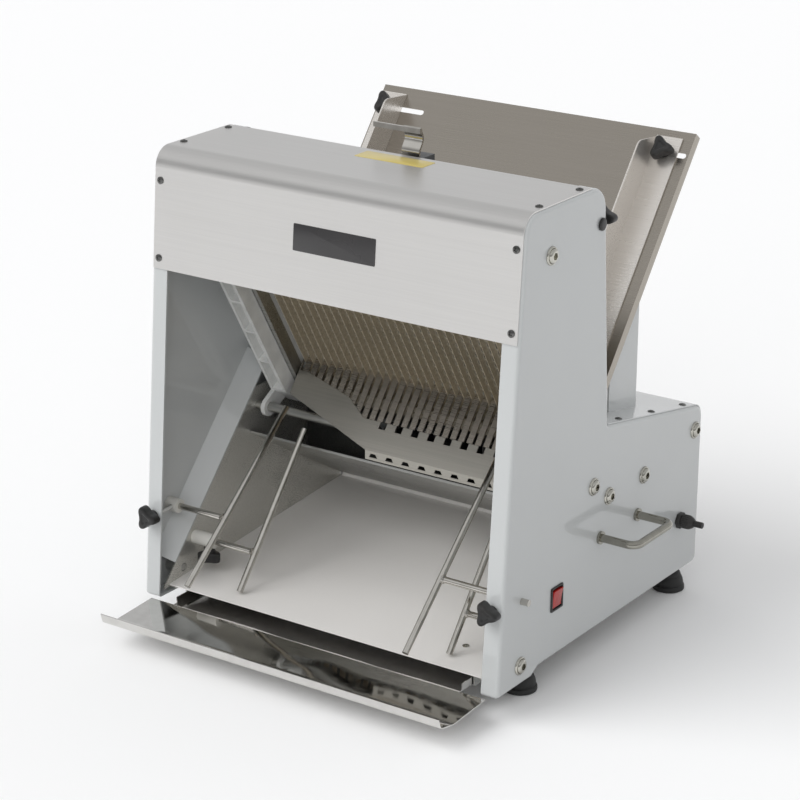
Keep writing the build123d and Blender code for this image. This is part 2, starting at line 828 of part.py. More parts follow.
# Blade frames: upper bar, lower bar and side bars, with a tab beside each blade end
upper_low = blade_top - bar_high
lower_top = blade_low + bar_high
for ahead, name, first in ((1, "front", 0), (-1, "rear", 1)):
    near_plane = blade_plane(ahead * frame_front_near)
    own_blades = blade_places[first::2]
    conrod_x = -ahead * (disc_x + disc_sheet + conrod_gap + conrod_sheet / 2)
    for end, low, high in (("upper", upper_low, blade_top), ("lower", blade_low, lower_top)):
        with BuildPart() as frame_bar:
            with BuildSketch(near_plane):
                with Locations((0, (low + high) / 2)):
                    Rectangle(2 * (frame_half - side_bar_wide) - 0.2, high - low)
            extrude(amount=ahead * bar_deep)
            with BuildSketch(near_plane):
                for x in own_blades:
                    with Locations((x + blade_sheet / 2 + tab_sheet / 2, (low + high) / 2)):
                        Rectangle(tab_sheet, bar_high - 4)
            extrude(amount=-ahead * (bar_gap + blade_wide * 0.75))
            if end == "lower":
                ear_gap = conrod_sheet / 2 + 0.4
                ear_end = conrod_pin_along - conrod_small_eye
                ear = [
                    (low, ahead * (frame_front_near + 1)), (low, ahead * (frame_front_far - 1)),
                    (ear_end, ahead * (frame_front_far - 1)), (ear_end, ahead * (frame_front_near + 1)),
                ]
                for step in (-1, 1):
                    slab(blade_side(conrod_x + step * ear_gap), ear, step * ear_sheet)
                pin_at = (conrod_pin_along, ahead * (frame_front_near + bar_deep / 2))
                rod(blade_side(conrod_x - ear_gap), pin_at, pin_radius, 2 * ear_gap)
        save(frame_bar, name + "_frame_" + end + "_bar")
    with BuildPart() as side_bars:
        with BuildSketch(near_plane):
            for side in (-1, 1):
                with Locations((side * (frame_half - side_bar_wide / 2), (blade_low + blade_top) / 2)):
                    Rectangle(side_bar_wide, blade_top - blade_low)
        extrude(amount=ahead * bar_deep)
        for side in (-1, 1):
            for low in (upper_low - tongue_long, lower_top):
                high = low + tongue_long
                tongue = [(low, ahead * frame_front_near), (high, ahead * frame_front_near),
                          (high, ahead * frame_front_far), (low, ahead * frame_front_far)]
                slab(blade_side(side * frame_half), tongue, side * (guide_wide - guide_web - running_gap))
    save(side_bars, name + "_frame_side_bars")
    with BuildPart() as blades:
        edge = -blade_wide / 2
        outline = [(blade_low + 1, -edge), (blade_low + 1, edge), (tooth_first, edge)]
        for tooth in range(tooth_count):
            start = tooth_first + tooth * tooth_pitch
            outline.append((start + tooth_pitch / 2, edge + tooth_deep))
            outline.append((start + tooth_pitch, edge))
        outline += [(blade_top - 1, edge), (blade_top - 1, -edge)]
        for x in own_blades:
            slab(blade_side(x - blade_sheet / 2), outline, blade_sheet)
    save(blades, name + "_blades")
    with BuildPart() as connecting_rod:
        bar_middle = frame_front_near + bar_deep / 2
        with BuildSketch(blade_side(conrod_x - conrod_sheet / 2)):
            with Locations((conrod_pin_along, ahead * bar_middle)):
                Circle(conrod_small_eye)
            with Locations((crank_along, ahead * stroke)):
                Circle(conrod_eye)
            make_hull()
            with Locations((conrod_pin_along, ahead * bar_middle)):
                Circle(pin_radius + fit_gap, mode=Mode.SUBTRACT)
        extrude(amount=conrod_sheet)
        outward = -ahead
        boss_face = blade_side(conrod_x + outward * conrod_sheet / 2)
        rod(boss_face, (crank_along, ahead * stroke), conrod_eye - 4, outward * 4)
    save(connecting_rod, name + "_connecting_rod")


# Crankshaft with a disc at each end, the crank pins stay in the connecting rods
crank_at = on_blade(crank_along, 0)
with BuildPart() as crankshaft:
    rod(side_plane(-disc_x), crank_at, shaft_radius, 2 * disc_x)
    for side in (-1, 1):
        rod(side_plane(side * disc_x), crank_at, disc_radius, side * disc_sheet)
save(crankshaft, "crankshaft")


# Pillow bearings on the cradle's slope
cradle_top = cradle_z + cradle_sheet
cradle_corners = [
    (front_y + cradle_front, cradle_front_z),
    (front_y + cradle_turn, cradle_top),
    (front_y + cradle_back, cradle_top),
]


def cradle_line(y):
    """Height of the cradle's sloping upper face at y."""
    share = (y - cradle_corners[0][0]) / (cradle_corners[1][0] - cradle_corners[0][0])
    return cradle_front_z + share * (cradle_top - cradle_front_z)


with BuildPart() as crank_bearings:
    foot_front = crank_at[0] - bearing_foot
    foot_back = crank_at[0] + bearing_foot
    waist = bearing_radius - 2
    pedestal = [
        (foot_front, cradle_line(foot_front) + 0.1),
        (foot_back, cradle_line(foot_back) + 0.1),
        (foot_back, cradle_line(foot_back) + 9),
        (crank_at[0] + waist, crank_at[1] - bearing_radius),
        (crank_at[0] + waist, crank_at[1]),
        (crank_at[0] - waist, crank_at[1]),
        (foot_front, cradle_line(foot_front) + 9),
    ]
    for side in (-1, 1):
        start = side * (bearing_x - bearing_wide / 2)
        with BuildSketch(side_plane(start)):
            with Locations(crank_at):
                Circle(bearing_radius)
            Polygon(*pedestal, align=None)
            with Locations(crank_at):
                Circle(shaft_radius + fit_gap, mode=Mode.SUBTRACT)
        extrude(amount=side * bearing_wide)
save(crank_bearings, "crank_bearings")


# Crank pulley, belt and motor pulley
motor_at = (front_y + motor_back, motor_z)
for name, place, radius, bore in (("crank_pulley", crank_at, crank_pulley_radius, shaft_radius + 0.05),
                                  ("motor_pulley", motor_at, motor_pulley_radius, 0)):
    with BuildPart() as pulley:
        rod(side_plane(-pulley_wide / 2), place, radius, pulley_wide)
        with BuildSketch(side_plane(-belt_wide / 2 - 0.4)):
            with Locations(place):
                Circle(radius)
                Circle(radius - belt_sheet + 1, mode=Mode.SUBTRACT)
        extrude(amount=belt_wide + 0.8, mode=Mode.SUBTRACT)
        if bore:
            rod(side_plane(-pulley_wide / 2), place, bore, pulley_wide, Mode.SUBTRACT)
        else:
            rod(side_plane(pulley_wide / 2), place, motor_shaft_radius, motor_x - pulley_wide / 2 + 12)
    save(pulley, name)
with BuildPart() as drive_belt:
    with BuildSketch(side_plane(-belt_wide / 2)):
        with Locations(crank_at):
            Circle(crank_pulley_radius + 1.06)
        with Locations(motor_at):
            Circle(motor_pulley_radius + 1.06)
        make_hull()
        offset(amount=-belt_sheet, mode=Mode.SUBTRACT)
    extrude(amount=belt_wide)
save(drive_belt, "drive_belt")


# Motor with its feet and terminal box
with BuildPart() as motor:
    rod(side_plane(motor_x), motor_at, motor_radius, motor_long)
    rod(side_plane(motor_x), motor_at, motor_radius * 0.45, -6)
    rod(side_plane(motor_x - 6), motor_at, motor_shaft_radius + fit_gap, 6 + 16, Mode.SUBTRACT)
    foot_half = motor_radius * 0.65
    foot_right = motor_x + motor_long - 40
    foot_y = motor_at[0] - foot_half
    box(motor_x + 35, foot_right, foot_y, foot_y + 2 * foot_half, cradle_top + 0.1, motor_z - foot_half)
save(motor, "motor")


# Drive cradle: a sheet that roofs the outlet and levels out under the motor, with a cheek at each end
with BuildPart() as drive_cradle:
    with BuildSketch(side_plane(-cradle_half)):
        with BuildLine():
            Polyline(*cradle_corners)
            offset(amount=cradle_sheet, side=Side.RIGHT)
        make_face()
    extrude(amount=2 * cradle_half)
    for side in (-1, 1):
        cheek_y = front_y + cheek_front
        cheek = [
            (cheek_y, cradle_line(cheek_y) - 1), (front_y + cradle_turn, cradle_top - 1),
            (front_y + cradle_back, cradle_top - 1), (front_y + cradle_back, cheek_top_z), (cheek_y, cheek_top_z),
        ]
        slab(side_plane(side * cradle_half), cheek, -side * cradle_sheet)
        with BuildSketch(side_plane(side * cradle_half)):
            with Locations(cradle_bolt, rear_bolt):
                Circle(bolt_hole)
        extrude(amount=-side * cradle_sheet, mode=Mode.SUBTRACT)
save(drive_cradle, "drive_cradle")


# Infeed chute: a flat sheet with flanges turned down and a cross slot for each guide
with BuildPart() as infeed_chute:
    chute_low = table_top + 0.3
    outline = [
        (-chute_half, chute_low), (chute_half, chute_low),
        (chute_half, chute_top), (-chute_half, chute_top),
    ]
    slab(chute_plane(0), outline, -chute_sheet)
    for side in (-1, 1):
        flange_low = chute_low + 6
        flange = [(flange_low, -chute_flange), (chute_top, -chute_flange), (chute_top, 0), (flange_low, 0)]
        slab(chute_side(side * chute_half), flange, -side * chute_sheet)
    top_low = chute_top - chute_sheet
    top_flange = [
        (-chute_half, top_low), (chute_half, top_low), (chute_half, chute_top), (-chute_half, chute_top),
    ]
    slab(chute_plane(0), top_flange, -chute_flange)
    with BuildSketch(chute_plane(0)):
        for side in (-1, 1):
            with Locations((side * (chute_slot_in + chute_slot_out) / 2, chute_slot_at)):
                SlotOverall(chute_slot_out - chute_slot_in, chute_slot_wide)
    extrude(amount=-chute_sheet, mode=Mode.SUBTRACT)
save(infeed_chute, "infeed_chute")


# Chute brackets: upright plates with a foot on the low rear cover
with BuildPart() as chute_brackets:
    rise = cover_sheet / math.cos(math.radians(low_slope))
    under = chute_sheet / cos_c + 0.1
    ys = (front_y + bracket_front, front_y + bracket_rear)
    seats = [low_line(y) + rise for y in ys]
    tops = [cross_z + (y - cross_y) * math.tan(math.radians(chute_tilt)) - under for y in ys]
    upright = [(ys[0], seats[0]), (ys[1], seats[1]), (ys[1], tops[1]), (ys[0], tops[0])]
    foot = [
        (ys[0], seats[0]), (ys[1], seats[1]),
        (ys[1], seats[1] + bracket_sheet), (ys[0], seats[0] + bracket_sheet),
    ]
    for side in (-1, 1):
        slab(side_plane(side * bracket_x), upright, -side * bracket_sheet)
        slab(side_plane(side * bracket_x), foot, -side * bracket_foot)
save(chute_brackets, "chute_brackets")


# Infeed guides: angles that slide across the chute
for side, wall_x, name in ((-1, left_wall_x, "infeed_guide_left"), (1, right_wall_x, "infeed_guide_right")):
    with BuildPart() as guide:
        foot_x_end = wall_x + side * infeed_foot
        foot = [(wall_x, infeed_low), (foot_x_end, infeed_low), (foot_x_end, infeed_top), (wall_x, infeed_top)]
        slab(chute_plane(slide_gap), foot, guide_sheet)
        with BuildSketch(chute_side(wall_x)):
            with BuildLine():
                FilletPolyline(
                    (infeed_low, slide_gap), (infeed_top, slide_gap), (infeed_top - infeed_cut, infeed_wall),
                    (infeed_low, infeed_wall), radius=[1, 1, 12, 2], close=True,
                )
            make_face()
        extrude(amount=side * guide_sheet)
        stud_at = (wall_x + side * infeed_stud_at, chute_slot_at)
        rod(chute_plane(slide_gap), stud_at, stud_radius + 0.25, guide_sheet, Mode.SUBTRACT)
    save(guide, name)


def star_knob(name, plane, stud_long, clamp=0.0):
    """A star knob whose neck stands on a plane and whose stud runs back through it."""
    with BuildPart() as knob:
        rod(plane, (0, 0), knob_neck, knob_neck_high)
        with BuildSketch(plane.offset(knob_neck_high)) as star:
            Circle(knob_hub)
            with PolarLocations(knob_reach, knob_lobes):
                Circle(knob_lobe)
        extrude(amount=knob_high)
        flats = knob.faces().filter_by(lambda f: f.is_planar)
        top = flats.sort_by(lambda f: plane.to_local_coords(f.center()).Z)[-1]
        chamfer(top.edges(), length=knob_edge)
        rod(plane, (0, 0), stud_radius, -stud_long)
        if clamp:
            with BuildSketch(plane.offset(-stud_long)):
                RegularPolygon(clamp, 6)
            extrude(amount=4)
    save(knob, name)


# Knobs of the infeed guides, with a clamp nut under the chute
for side, wall_x, name in ((-1, left_wall_x, "infeed_knob_left"), (1, right_wall_x, "infeed_knob_right")):
    lift = slide_gap + guide_sheet + 0.1
    knob_at = (wall_x + side * infeed_stud_at, *on_chute(chute_slot_at, lift))
    seat = Plane(origin=knob_at, x_dir=(1, 0, 0), z_dir=(0, -sin_c, cos_c))
    star_knob(name, seat, lift + chute_sheet + slide_gap + 4, clamp_radius)


# Press: rod across the panels, block on it, strip with a plate through the block
with BuildPart() as press_rod:
    rod(side_plane(-half - press_rod_out), press_at, press_rod_radius, 2 * (half + press_rod_out))
save(press_rod, "press_rod")
with BuildPart() as press_block:
    block_left = block_x - block_wide / 2
    block_right = block_x + block_wide / 2
    low_z = press_z - block_low
    high_z = press_z + block_top
    box(block_left, block_right, press_at[0] - block_front, press_at[0] + block_rear, low_z, high_z)
    rod(side_plane(block_left), press_at, press_rod_radius + 0.05, block_wide, Mode.SUBTRACT)
    strip_y = press_at[0] - block_front + 1.5
    slot_half = strip_wide / 2 + slide_gap
    slot_back = strip_y + strip_sheet + slide_gap
    box(block_x - slot_half, block_x + slot_half, strip_y - slide_gap, slot_back, low_z, high_z, Mode.SUBTRACT)
    stud_face = Plane.XZ.offset(-strip_y - strip_sheet - 0.1)
    stud_at = (block_x, press_z + press_knob_up)
    rod(stud_face, stud_at, stud_radius + 0.25, -block_front - block_rear, Mode.SUBTRACT)
save(press_block, "press_block")
with BuildPart() as press_strip:
    blade_height = cross_z + (cross_y - strip_y) * sin_b / cos_b
    strip_low = strip_share * (press_z - blade_height)
    with BuildSketch(side_plane(block_x - strip_wide / 2)):
        with BuildLine():
            FilletPolyline(
                (strip_y, press_z - strip_low), (strip_y, press_z + block_top + 8),
                (strip_y + 8, press_z + block_top + 20), (strip_y + 2, press_z + strip_top), radius=[10, 8],
            )
            offset(amount=strip_sheet, side=Side.RIGHT)
        make_face()
    extrude(amount=strip_wide)
    grip_right = block_x + strip_wide / 2
    grip_y = strip_y + 2
    grip_top = press_z + strip_top
    box(grip_right - grip_long, grip_right, grip_y, grip_y + strip_sheet, grip_top - grip_high, grip_top)
    plate_at = (block_x, strip_y + strip_sheet / 2, press_z - strip_low)
    plate_face = Plane(origin=plate_at, x_dir=(1, 0, 0), z_dir=(0, -sin_c, cos_c))
    wide = press_plate_wide / 2
    corners = [
        (-wide, -press_plate_down), (wide, -press_plate_down),
        (wide, press_plate_up), (-wide, press_plate_up),
    ]
    slab(plate_face, corners, -2)
save(press_strip, "press_strip")
knob_face = press_at[0] + block_rear + 0.1
seat = Plane(origin=(block_x, knob_face, press_z + press_knob_up), x_dir=(1, 0, 0), z_dir=(0, 1, 0))
star_knob("press_knob", seat, knob_face - strip_y - strip_sheet - 0.4)
rear_face = front_y + tall_back - (press_z - low_top_z) * tan_tall + 2.5
seat = Plane(origin=((rim_in + inside) / 2, rear_face, press_z), x_dir=(1, 0, 0), z_dir=(0, 1, 0))
star_knob("press_rod_knob", seat, rear_face - press_at[0] - press_rod_radius - 0.3)


# Outlet guide rods: a long sloping bar welded to a cross rod
front_lengths = (front_rod_up, front_rod_down)
rear_lengths = (rear_rod_up, rear_rod_down)
rods = (
    ("front_left_rod", -1, front_left_x, front_rod_at, front_left_slope, front_lengths, half + rod_stub),
    ("front_right_rod", 1, front_right_x, front_rod_at, front_right_slope, front_lengths, half + rod_stub),
    ("rear_left_rod", -1, rear_left_x, rear_rod_at, rear_rod_slope, rear_lengths, rear_rod_end),
    ("rear_right_rod", 1, rear_right_x, rear_rod_at, rear_rod_slope, rear_lengths, rear_rod_end),
)
for name, side, x, place, slope, (up, down), outer in rods:
    with BuildPart() as guide_rod:
        rod(side_plane(x), place, rod_radius, side * (outer - abs(x)))
        turn = math.radians(slope)
        low_end = (x, place[0] - down * math.cos(turn), place[1] - down * math.sin(turn))
        low_face = Plane(origin=low_end, x_dir=(1, 0, 0), z_dir=(0, math.cos(turn), math.sin(turn)))
        rod(low_face, (0, 0), rod_radius, up + down)
    save(guide_rod, name)


# Bushes: front ones on the panels, rear ones on the inner plates, one for the press rod on each panel
with BuildPart() as rod_bushes:
    for side in (-1, 1):
        bush_long = panel_rim - panel_sheet - 3
        rear_start = inner_x - inner_sheet
        for place, start, long, hole, radius in (
                (front_rod_at, inside, -bush_long, rod_radius, bush_radius),
                (rear_rod_at, rear_start, rear_bush_in - rear_start, rod_radius, bush_radius),
                (press_at, inside, -bush_long, press_rod_radius, bush_radius + 1)):
            with BuildSketch(side_plane(side * start)):
                with Locations(place):
                    Circle(radius)
                    Circle(hole + fit_gap, mode=Mode.SUBTRACT)
            extrude(amount=side * long)
        middle = side * (rim_in + inside) / 2
        hole = stud_radius + 0.25
        rod(Plane.XZ.offset(-front_rod_at[0]), (middle, front_rod_z), hole, 30, Mode.SUBTRACT)
        rod(Plane.XY.offset(rear_rod_z), (side * rear_knob_x, rear_rod_at[0]), hole, -30, Mode.SUBTRACT)
        rod(Plane.XZ.offset(-press_at[0]), (middle, press_z), hole, -30, Mode.SUBTRACT)
save(rod_bushes, "rod_bushes")


# Knobs that clamp the outlet rods
knob_y = front_line(front_rod_z) - 1.6
for side, word in ((-1, "left"), (1, "right")):
    front_seat = (side * (rim_in + inside) / 2, knob_y, front_rod_z)
    seat = Plane(origin=front_seat, x_dir=(1, 0, 0), z_dir=(0, -1, 0))
    star_knob("front_" + word + "_knob", seat, front_rod_at[0] - rod_radius - 0.3 - knob_y)
    rear_seat = (side * rear_knob_x, rear_rod_at[0], rear_rod_z - bush_radius - 0.3)
    seat = Plane(origin=rear_seat, x_dir=(1, 0, 0), z_dir=(0, 0, -1))
    star_knob("rear_" + word + "_knob", seat, bush_radius - rod_radius)


# Switch: frame and rocker, which tilts on two short pins in the frame's sides
switch_at = (front_y + switch_back, switch_z)
pin_x = half - rocker_pin_in
tub_wide = switch_wide - 2 * switch_rim + 0.6
with BuildPart() as switch_frame:
    with BuildSketch(side_plane(half)):
        with Locations(switch_at):
            Rectangle(switch_wide, switch_high)
            Rectangle(switch_wide - 2 * switch_rim, switch_high - 2 * switch_rim, mode=Mode.SUBTRACT)
    extrude(amount=switch_proud)
    with BuildSketch(side_plane(half)):
        with Locations(switch_at):
            Rectangle(tub_wide, switch_high - 2 * switch_rim + 0.6)
    extrude(amount=-rocker_deep - 2)
    with BuildSketch(side_plane(half)):
        with Locations(switch_at):
            Rectangle(switch_wide - 2 * switch_rim - 0.4, switch_high - 2 * switch_rim)
    extrude(amount=-rocker_deep, mode=Mode.SUBTRACT)
    bore_plane = Plane.XZ.offset(-switch_at[0] - tub_wide / 2)
    rod(bore_plane, (pin_x, switch_z), rocker_pin + fit_gap, tub_wide, Mode.SUBTRACT)
save(switch_frame, "switch_frame")
with BuildPart() as switch_rocker:
    rocker_half = (switch_high - 2 * switch_rim) / 2 - 1.5
    rocker_wide = switch_wide - 2 * switch_rim - 1.2
    rocker_side = Plane.XZ.offset(-switch_at[0] - rocker_wide / 2)
    with BuildSketch(rocker_side):
        with BuildLine():
            Polyline(
                (half - 5, switch_z - rocker_half + 2), (half + 1.0, switch_z - rocker_half),
                (half + 1.8, switch_z), (half + 4.2, switch_z + rocker_half),
                (half - 5, switch_z + rocker_half - 2), (half - 11, switch_z), close=True,
            )
        make_face()
    extrude(amount=rocker_wide)
    pin_long = rocker_wide + 2 * rocker_pin_out
    rod(rocker_side.offset(-rocker_pin_out), (pin_x, switch_z), rocker_pin, pin_long)
save(switch_rocker, "switch_rocker")


# Cable gland with a short cord end
gland_at = (front_y + gland_back, gland_z)
with BuildPart() as cable_gland:
    with BuildSketch(side_plane(half)):
        with Locations(gland_at):
            RegularPolygon(gland_radius, 6)
    extrude(amount=6)
    rod(side_plane(half + 6), gland_at, gland_radius - 2, gland_out - 6)
    rod(side_plane(half + gland_out), gland_at, cord_radius, cord_out)
    rod(side_plane(half), gland_at, gland_radius - 4.3, -12)
save(cable_gland, "cable_gland")


# Carrying handles: bent bars with a collar at each leg
with BuildPart() as carrying_handles:
    for side in (-1, 1):
        ya = front_y + handle_front
        yb = front_y + handle_rear
        with BuildLine() as path:
            FilletPolyline(
                (side * half, ya, handle_z), (side * (half + handle_out), ya, handle_z),
                (side * (half + handle_out), yb, handle_z), (side * half, yb, handle_z), radius=handle_bend,
            )
        with BuildSketch(Plane(origin=(side * half, ya, handle_z), x_dir=(0, 1, 0), z_dir=(side, 0, 0))):
            Circle(handle_radius)
        sweep(path=path.wires()[0])
        for y in (ya, yb):
            rod(side_plane(side * half), (y, handle_z), handle_radius + 3, side * 3)
save(carrying_handles, "carrying_handles")


# Feet: rubber pads on studs through the base rails
with BuildPart() as feet:
    for side in (-1, 1):
        for back in (front_foot_back, rear_foot_back):
            place = (side * foot_x, front_y + back)
            with BuildSketch(Plane.XY):
                with Locations(place):
                    Circle(foot_radius)
            extrude(amount=foot_high, taper=14)
            rod(Plane.XY.offset(foot_high), place, foot_stud, rail_z + rail_sheet - foot_high)
save(feet, "feet")
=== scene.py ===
"""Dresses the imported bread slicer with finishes, moulded and turned details, studio light and a camera."""

import logging
import math
from collections.abc import Callable
from dataclasses import dataclass
from enum import Enum

import bmesh
import bpy
from mathutils import Matrix, Vector


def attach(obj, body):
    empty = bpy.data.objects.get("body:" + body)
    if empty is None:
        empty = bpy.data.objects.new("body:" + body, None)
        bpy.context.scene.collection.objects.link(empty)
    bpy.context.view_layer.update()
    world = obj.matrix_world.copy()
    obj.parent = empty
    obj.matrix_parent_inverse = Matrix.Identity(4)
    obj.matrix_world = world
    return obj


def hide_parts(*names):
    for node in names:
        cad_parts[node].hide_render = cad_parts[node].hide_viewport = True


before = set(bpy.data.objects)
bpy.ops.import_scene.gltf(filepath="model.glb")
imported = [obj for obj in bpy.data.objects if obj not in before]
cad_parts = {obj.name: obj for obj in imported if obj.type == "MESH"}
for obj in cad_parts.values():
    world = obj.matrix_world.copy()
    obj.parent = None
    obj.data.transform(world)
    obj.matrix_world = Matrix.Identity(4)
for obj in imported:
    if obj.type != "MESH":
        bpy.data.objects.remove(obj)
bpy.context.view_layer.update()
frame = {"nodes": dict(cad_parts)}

Colour = tuple[float, float, float]
Point = tuple[float, float, float]
Pair = tuple[float, float]
Ring = list[Vector]
Radius = Callable[[float], float]
Object = bpy.types.Object
Shape = bmesh.types.BMesh
Socket = bpy.types.NodeSocket
Tree = bpy.types.NodeTree
Masks = tuple[Socket, Socket, Socket]

log = logging.getLogger("bread_slicer")
MM = 0.001
ALONG_X = (1.0, 0.0, 0.0)
ALONG_Y = (0.0, 1.0, 0.0)
ALONG_Z = (0.0, 0.0, 1.0)


class Texture(Enum):
    """How the surface of a finish is worked."""

    FILM = "sprayed_film"
    BRUSHED = "brushed_lines"
    MOULDED = "moulded_skin"
    MIRROR = "polished_sheet"


class Lean(Enum):
    """Turn about the X axis, in degrees, that lays a pattern along a sheet."""

    LEVEL = 0.0
    CHUTE = 52.0
    BLADES = -59.0
    UPRIGHT = 90.0


# Node tools


def new_tree(name: str, kind: str, inputs: dict[str, str], outputs: dict[str, str]) -> Tree:
    """Make a node group with only its end nodes, named in and out.

    Args:
        name: Name of the group.
        kind: Type of the tree.
        inputs: Kind of each input socket by its name.
        outputs: Kind of each output socket by its name.

    Returns:
        The group.
    """
    tree = bpy.data.node_groups.new(name, kind)
    for way, sockets in (("INPUT", inputs), ("OUTPUT", outputs)):
        for label, sort in sockets.items():
            tree.interface.new_socket(label, in_out=way, socket_type="NodeSocket" + sort)
    tree.nodes.new("NodeGroupInput").name = "in"
    tree.nodes.new("NodeGroupOutput").name = "out"
    return tree


def fill(tree: Tree, node: bpy.types.Node, inputs: dict[str | int, object]) -> None:
    """Give the inputs of a node their values or links.

    Args:
        tree: Tree of the node.
        node: The node.
        inputs: Value or source socket of each input, by name or place.
    """
    for key, value in inputs.items():
        if isinstance(value, Socket):
            tree.links.new(value, node.inputs[key])
        else:
            node.inputs[key].default_value = value


def add_node(tree: Tree, kind: str, inputs: dict[str | int, object], **settings: object) -> bpy.types.Node:
    """Add a node.

    Args:
        tree: Tree that gets the node.
        kind: Type of the node.
        inputs: Value or source socket of each input, by name or place.
        settings: Properties of the node.

    Returns:
        The new node.
    """
    node = tree.nodes.new(kind)
    for name, value in settings.items():
        setattr(node, name, value)
    fill(tree, node, inputs)
    return node


def typed(sockets: bpy.types.bpy_prop_collection, kind: str, name: str = "") -> list[int]:
    """Places of the sockets of one type, and of one name where it is given."""
    return [i for i, s in enumerate(sockets) if s.type == kind and name in ("", s.name)]


def mix_colours(tree: Tree, factor: Socket, low: object, high: object) -> Socket:
    """Mix two colours, each a value or a socket, from low at 0 to high at 1."""
    node = add_node(tree, "ShaderNodeMix", {"Factor": factor}, data_type="RGBA")
    fill(tree, node, dict(zip(typed(node.inputs, "RGBA"), (low, high))))
    return node.outputs[typed(node.outputs, "RGBA")[0]]


def noise(tree: Tree, vector: Socket, scale: float, detail: float) -> Socket:
    """Noise with so many cells in a metre and octaves of finer noise."""
    return add_node(tree, "ShaderNodeTexNoise", {"Vector": vector, "Scale": scale, "Detail": detail}).outputs["Fac"]


def spread(tree: Tree, value: Socket, low: float, high: float) -> Socket:
    """Map a value so that low becomes 0 and high becomes 1."""
    limits = {"Value": value, "From Min": low, "From Max": high}
    return add_node(tree, "ShaderNodeMapRange", limits).outputs["Result"]


def reckon(tree: Tree, operation: str, first: Socket, second: Socket) -> Socket:
    """Result of a Math node on two values."""
    return add_node(tree, "ShaderNodeMath", {0: first, 1: second}, operation=operation).outputs["Value"]


# Shared surface effects: each returns the masks of tone and of dullness, and the relief


def film(tree: Tree, vector: Socket) -> Masks:
    """Sprayed paint: faint clouds of tone and gloss, slow waves of the sheet in relief."""
    tone = spread(tree, noise(tree, vector, 9.0, 3.0), 0.34, 0.66)
    dull = spread(tree, noise(tree, vector, 22.0, 2.0), 0.36, 0.64)
    return tone, dull, noise(tree, vector, 14.0, 1.0)


def brushed(tree: Tree, vector: Socket) -> Masks:
    """Brushed sheet: long fine lines along X, with broad hazes and handling marks."""
    along = add_node(tree, "ShaderNodeMapping", {"Vector": vector, "Scale": (0.012, 1.0, 1.0)}).outputs["Vector"]
    lines = noise(tree, along, 1100.0, 3.0)
    bands = noise(tree, along, 320.0, 2.0)
    haze = noise(tree, vector, 7.0, 4.0)
    tone = spread(tree, reckon(tree, "ADD", lines, bands), 0.72, 1.28)
    dull = spread(tree, reckon(tree, "ADD", lines, haze), 0.7, 1.3)
    return tone, dull, lines


def moulded(tree: Tree, vector: Socket) -> Masks:
    """Moulded or cast skin: small pits in relief and uneven gloss."""
    cloud = noise(tree, vector, 45.0, 4.0)
    pits = add_node(tree, "ShaderNodeTexVoronoi", {"Vector": vector, "Scale": 900.0})
    return spread(tree, cloud, 0.36, 0.64), spread(tree, cloud, 0.3, 0.7), pits.outputs["Distance"]


def mirror(tree: Tree, vector: Socket) -> Masks:
    """Polished sheet: slow waves in relief, with faint rubbing marks in the gloss."""
    rub = noise(tree, vector, 70.0, 4.0)
    return spread(tree, rub, 0.36, 0.64), spread(tree, rub, 0.4, 0.7), noise(tree, vector, 9.0, 1.0)


def surface_tree(texture: Texture, effect: Callable[[Tree, Socket], Masks]) -> Tree:
    """Make the shader group of a texture.

    Args:
        texture: The texture.
        effect: Function that adds its nodes and returns its masks and relief.

    Returns:
        The group, which gives a colour, a roughness and a height.
    """
    tree = new_tree(
        texture.value, "ShaderNodeTree",
        {"Vector": "Vector", "Light": "Color", "Dark": "Color", "Smooth": "Float", "Rough": "Float"},
        {"Colour": "Color", "Roughness": "Float", "Height": "Float"},
    )
    enter = tree.nodes["in"].outputs
    tone, dull, height = effect(tree, enter["Vector"])
    gloss = add_node(tree, "ShaderNodeMapRange", {"Value": dull, "To Min": enter["Smooth"], "To Max": enter["Rough"]})
    fill(tree, tree.nodes["out"], {
        "Colour": mix_colours(tree, tone, enter["Dark"], enter["Light"]),
        "Roughness": gloss.outputs["Result"],
        "Height": height,
    })
    return tree


SURFACES = {
    texture: surface_tree(texture, effect)
    for texture, effect in zip(Texture, (film, brushed, moulded, mirror))
}


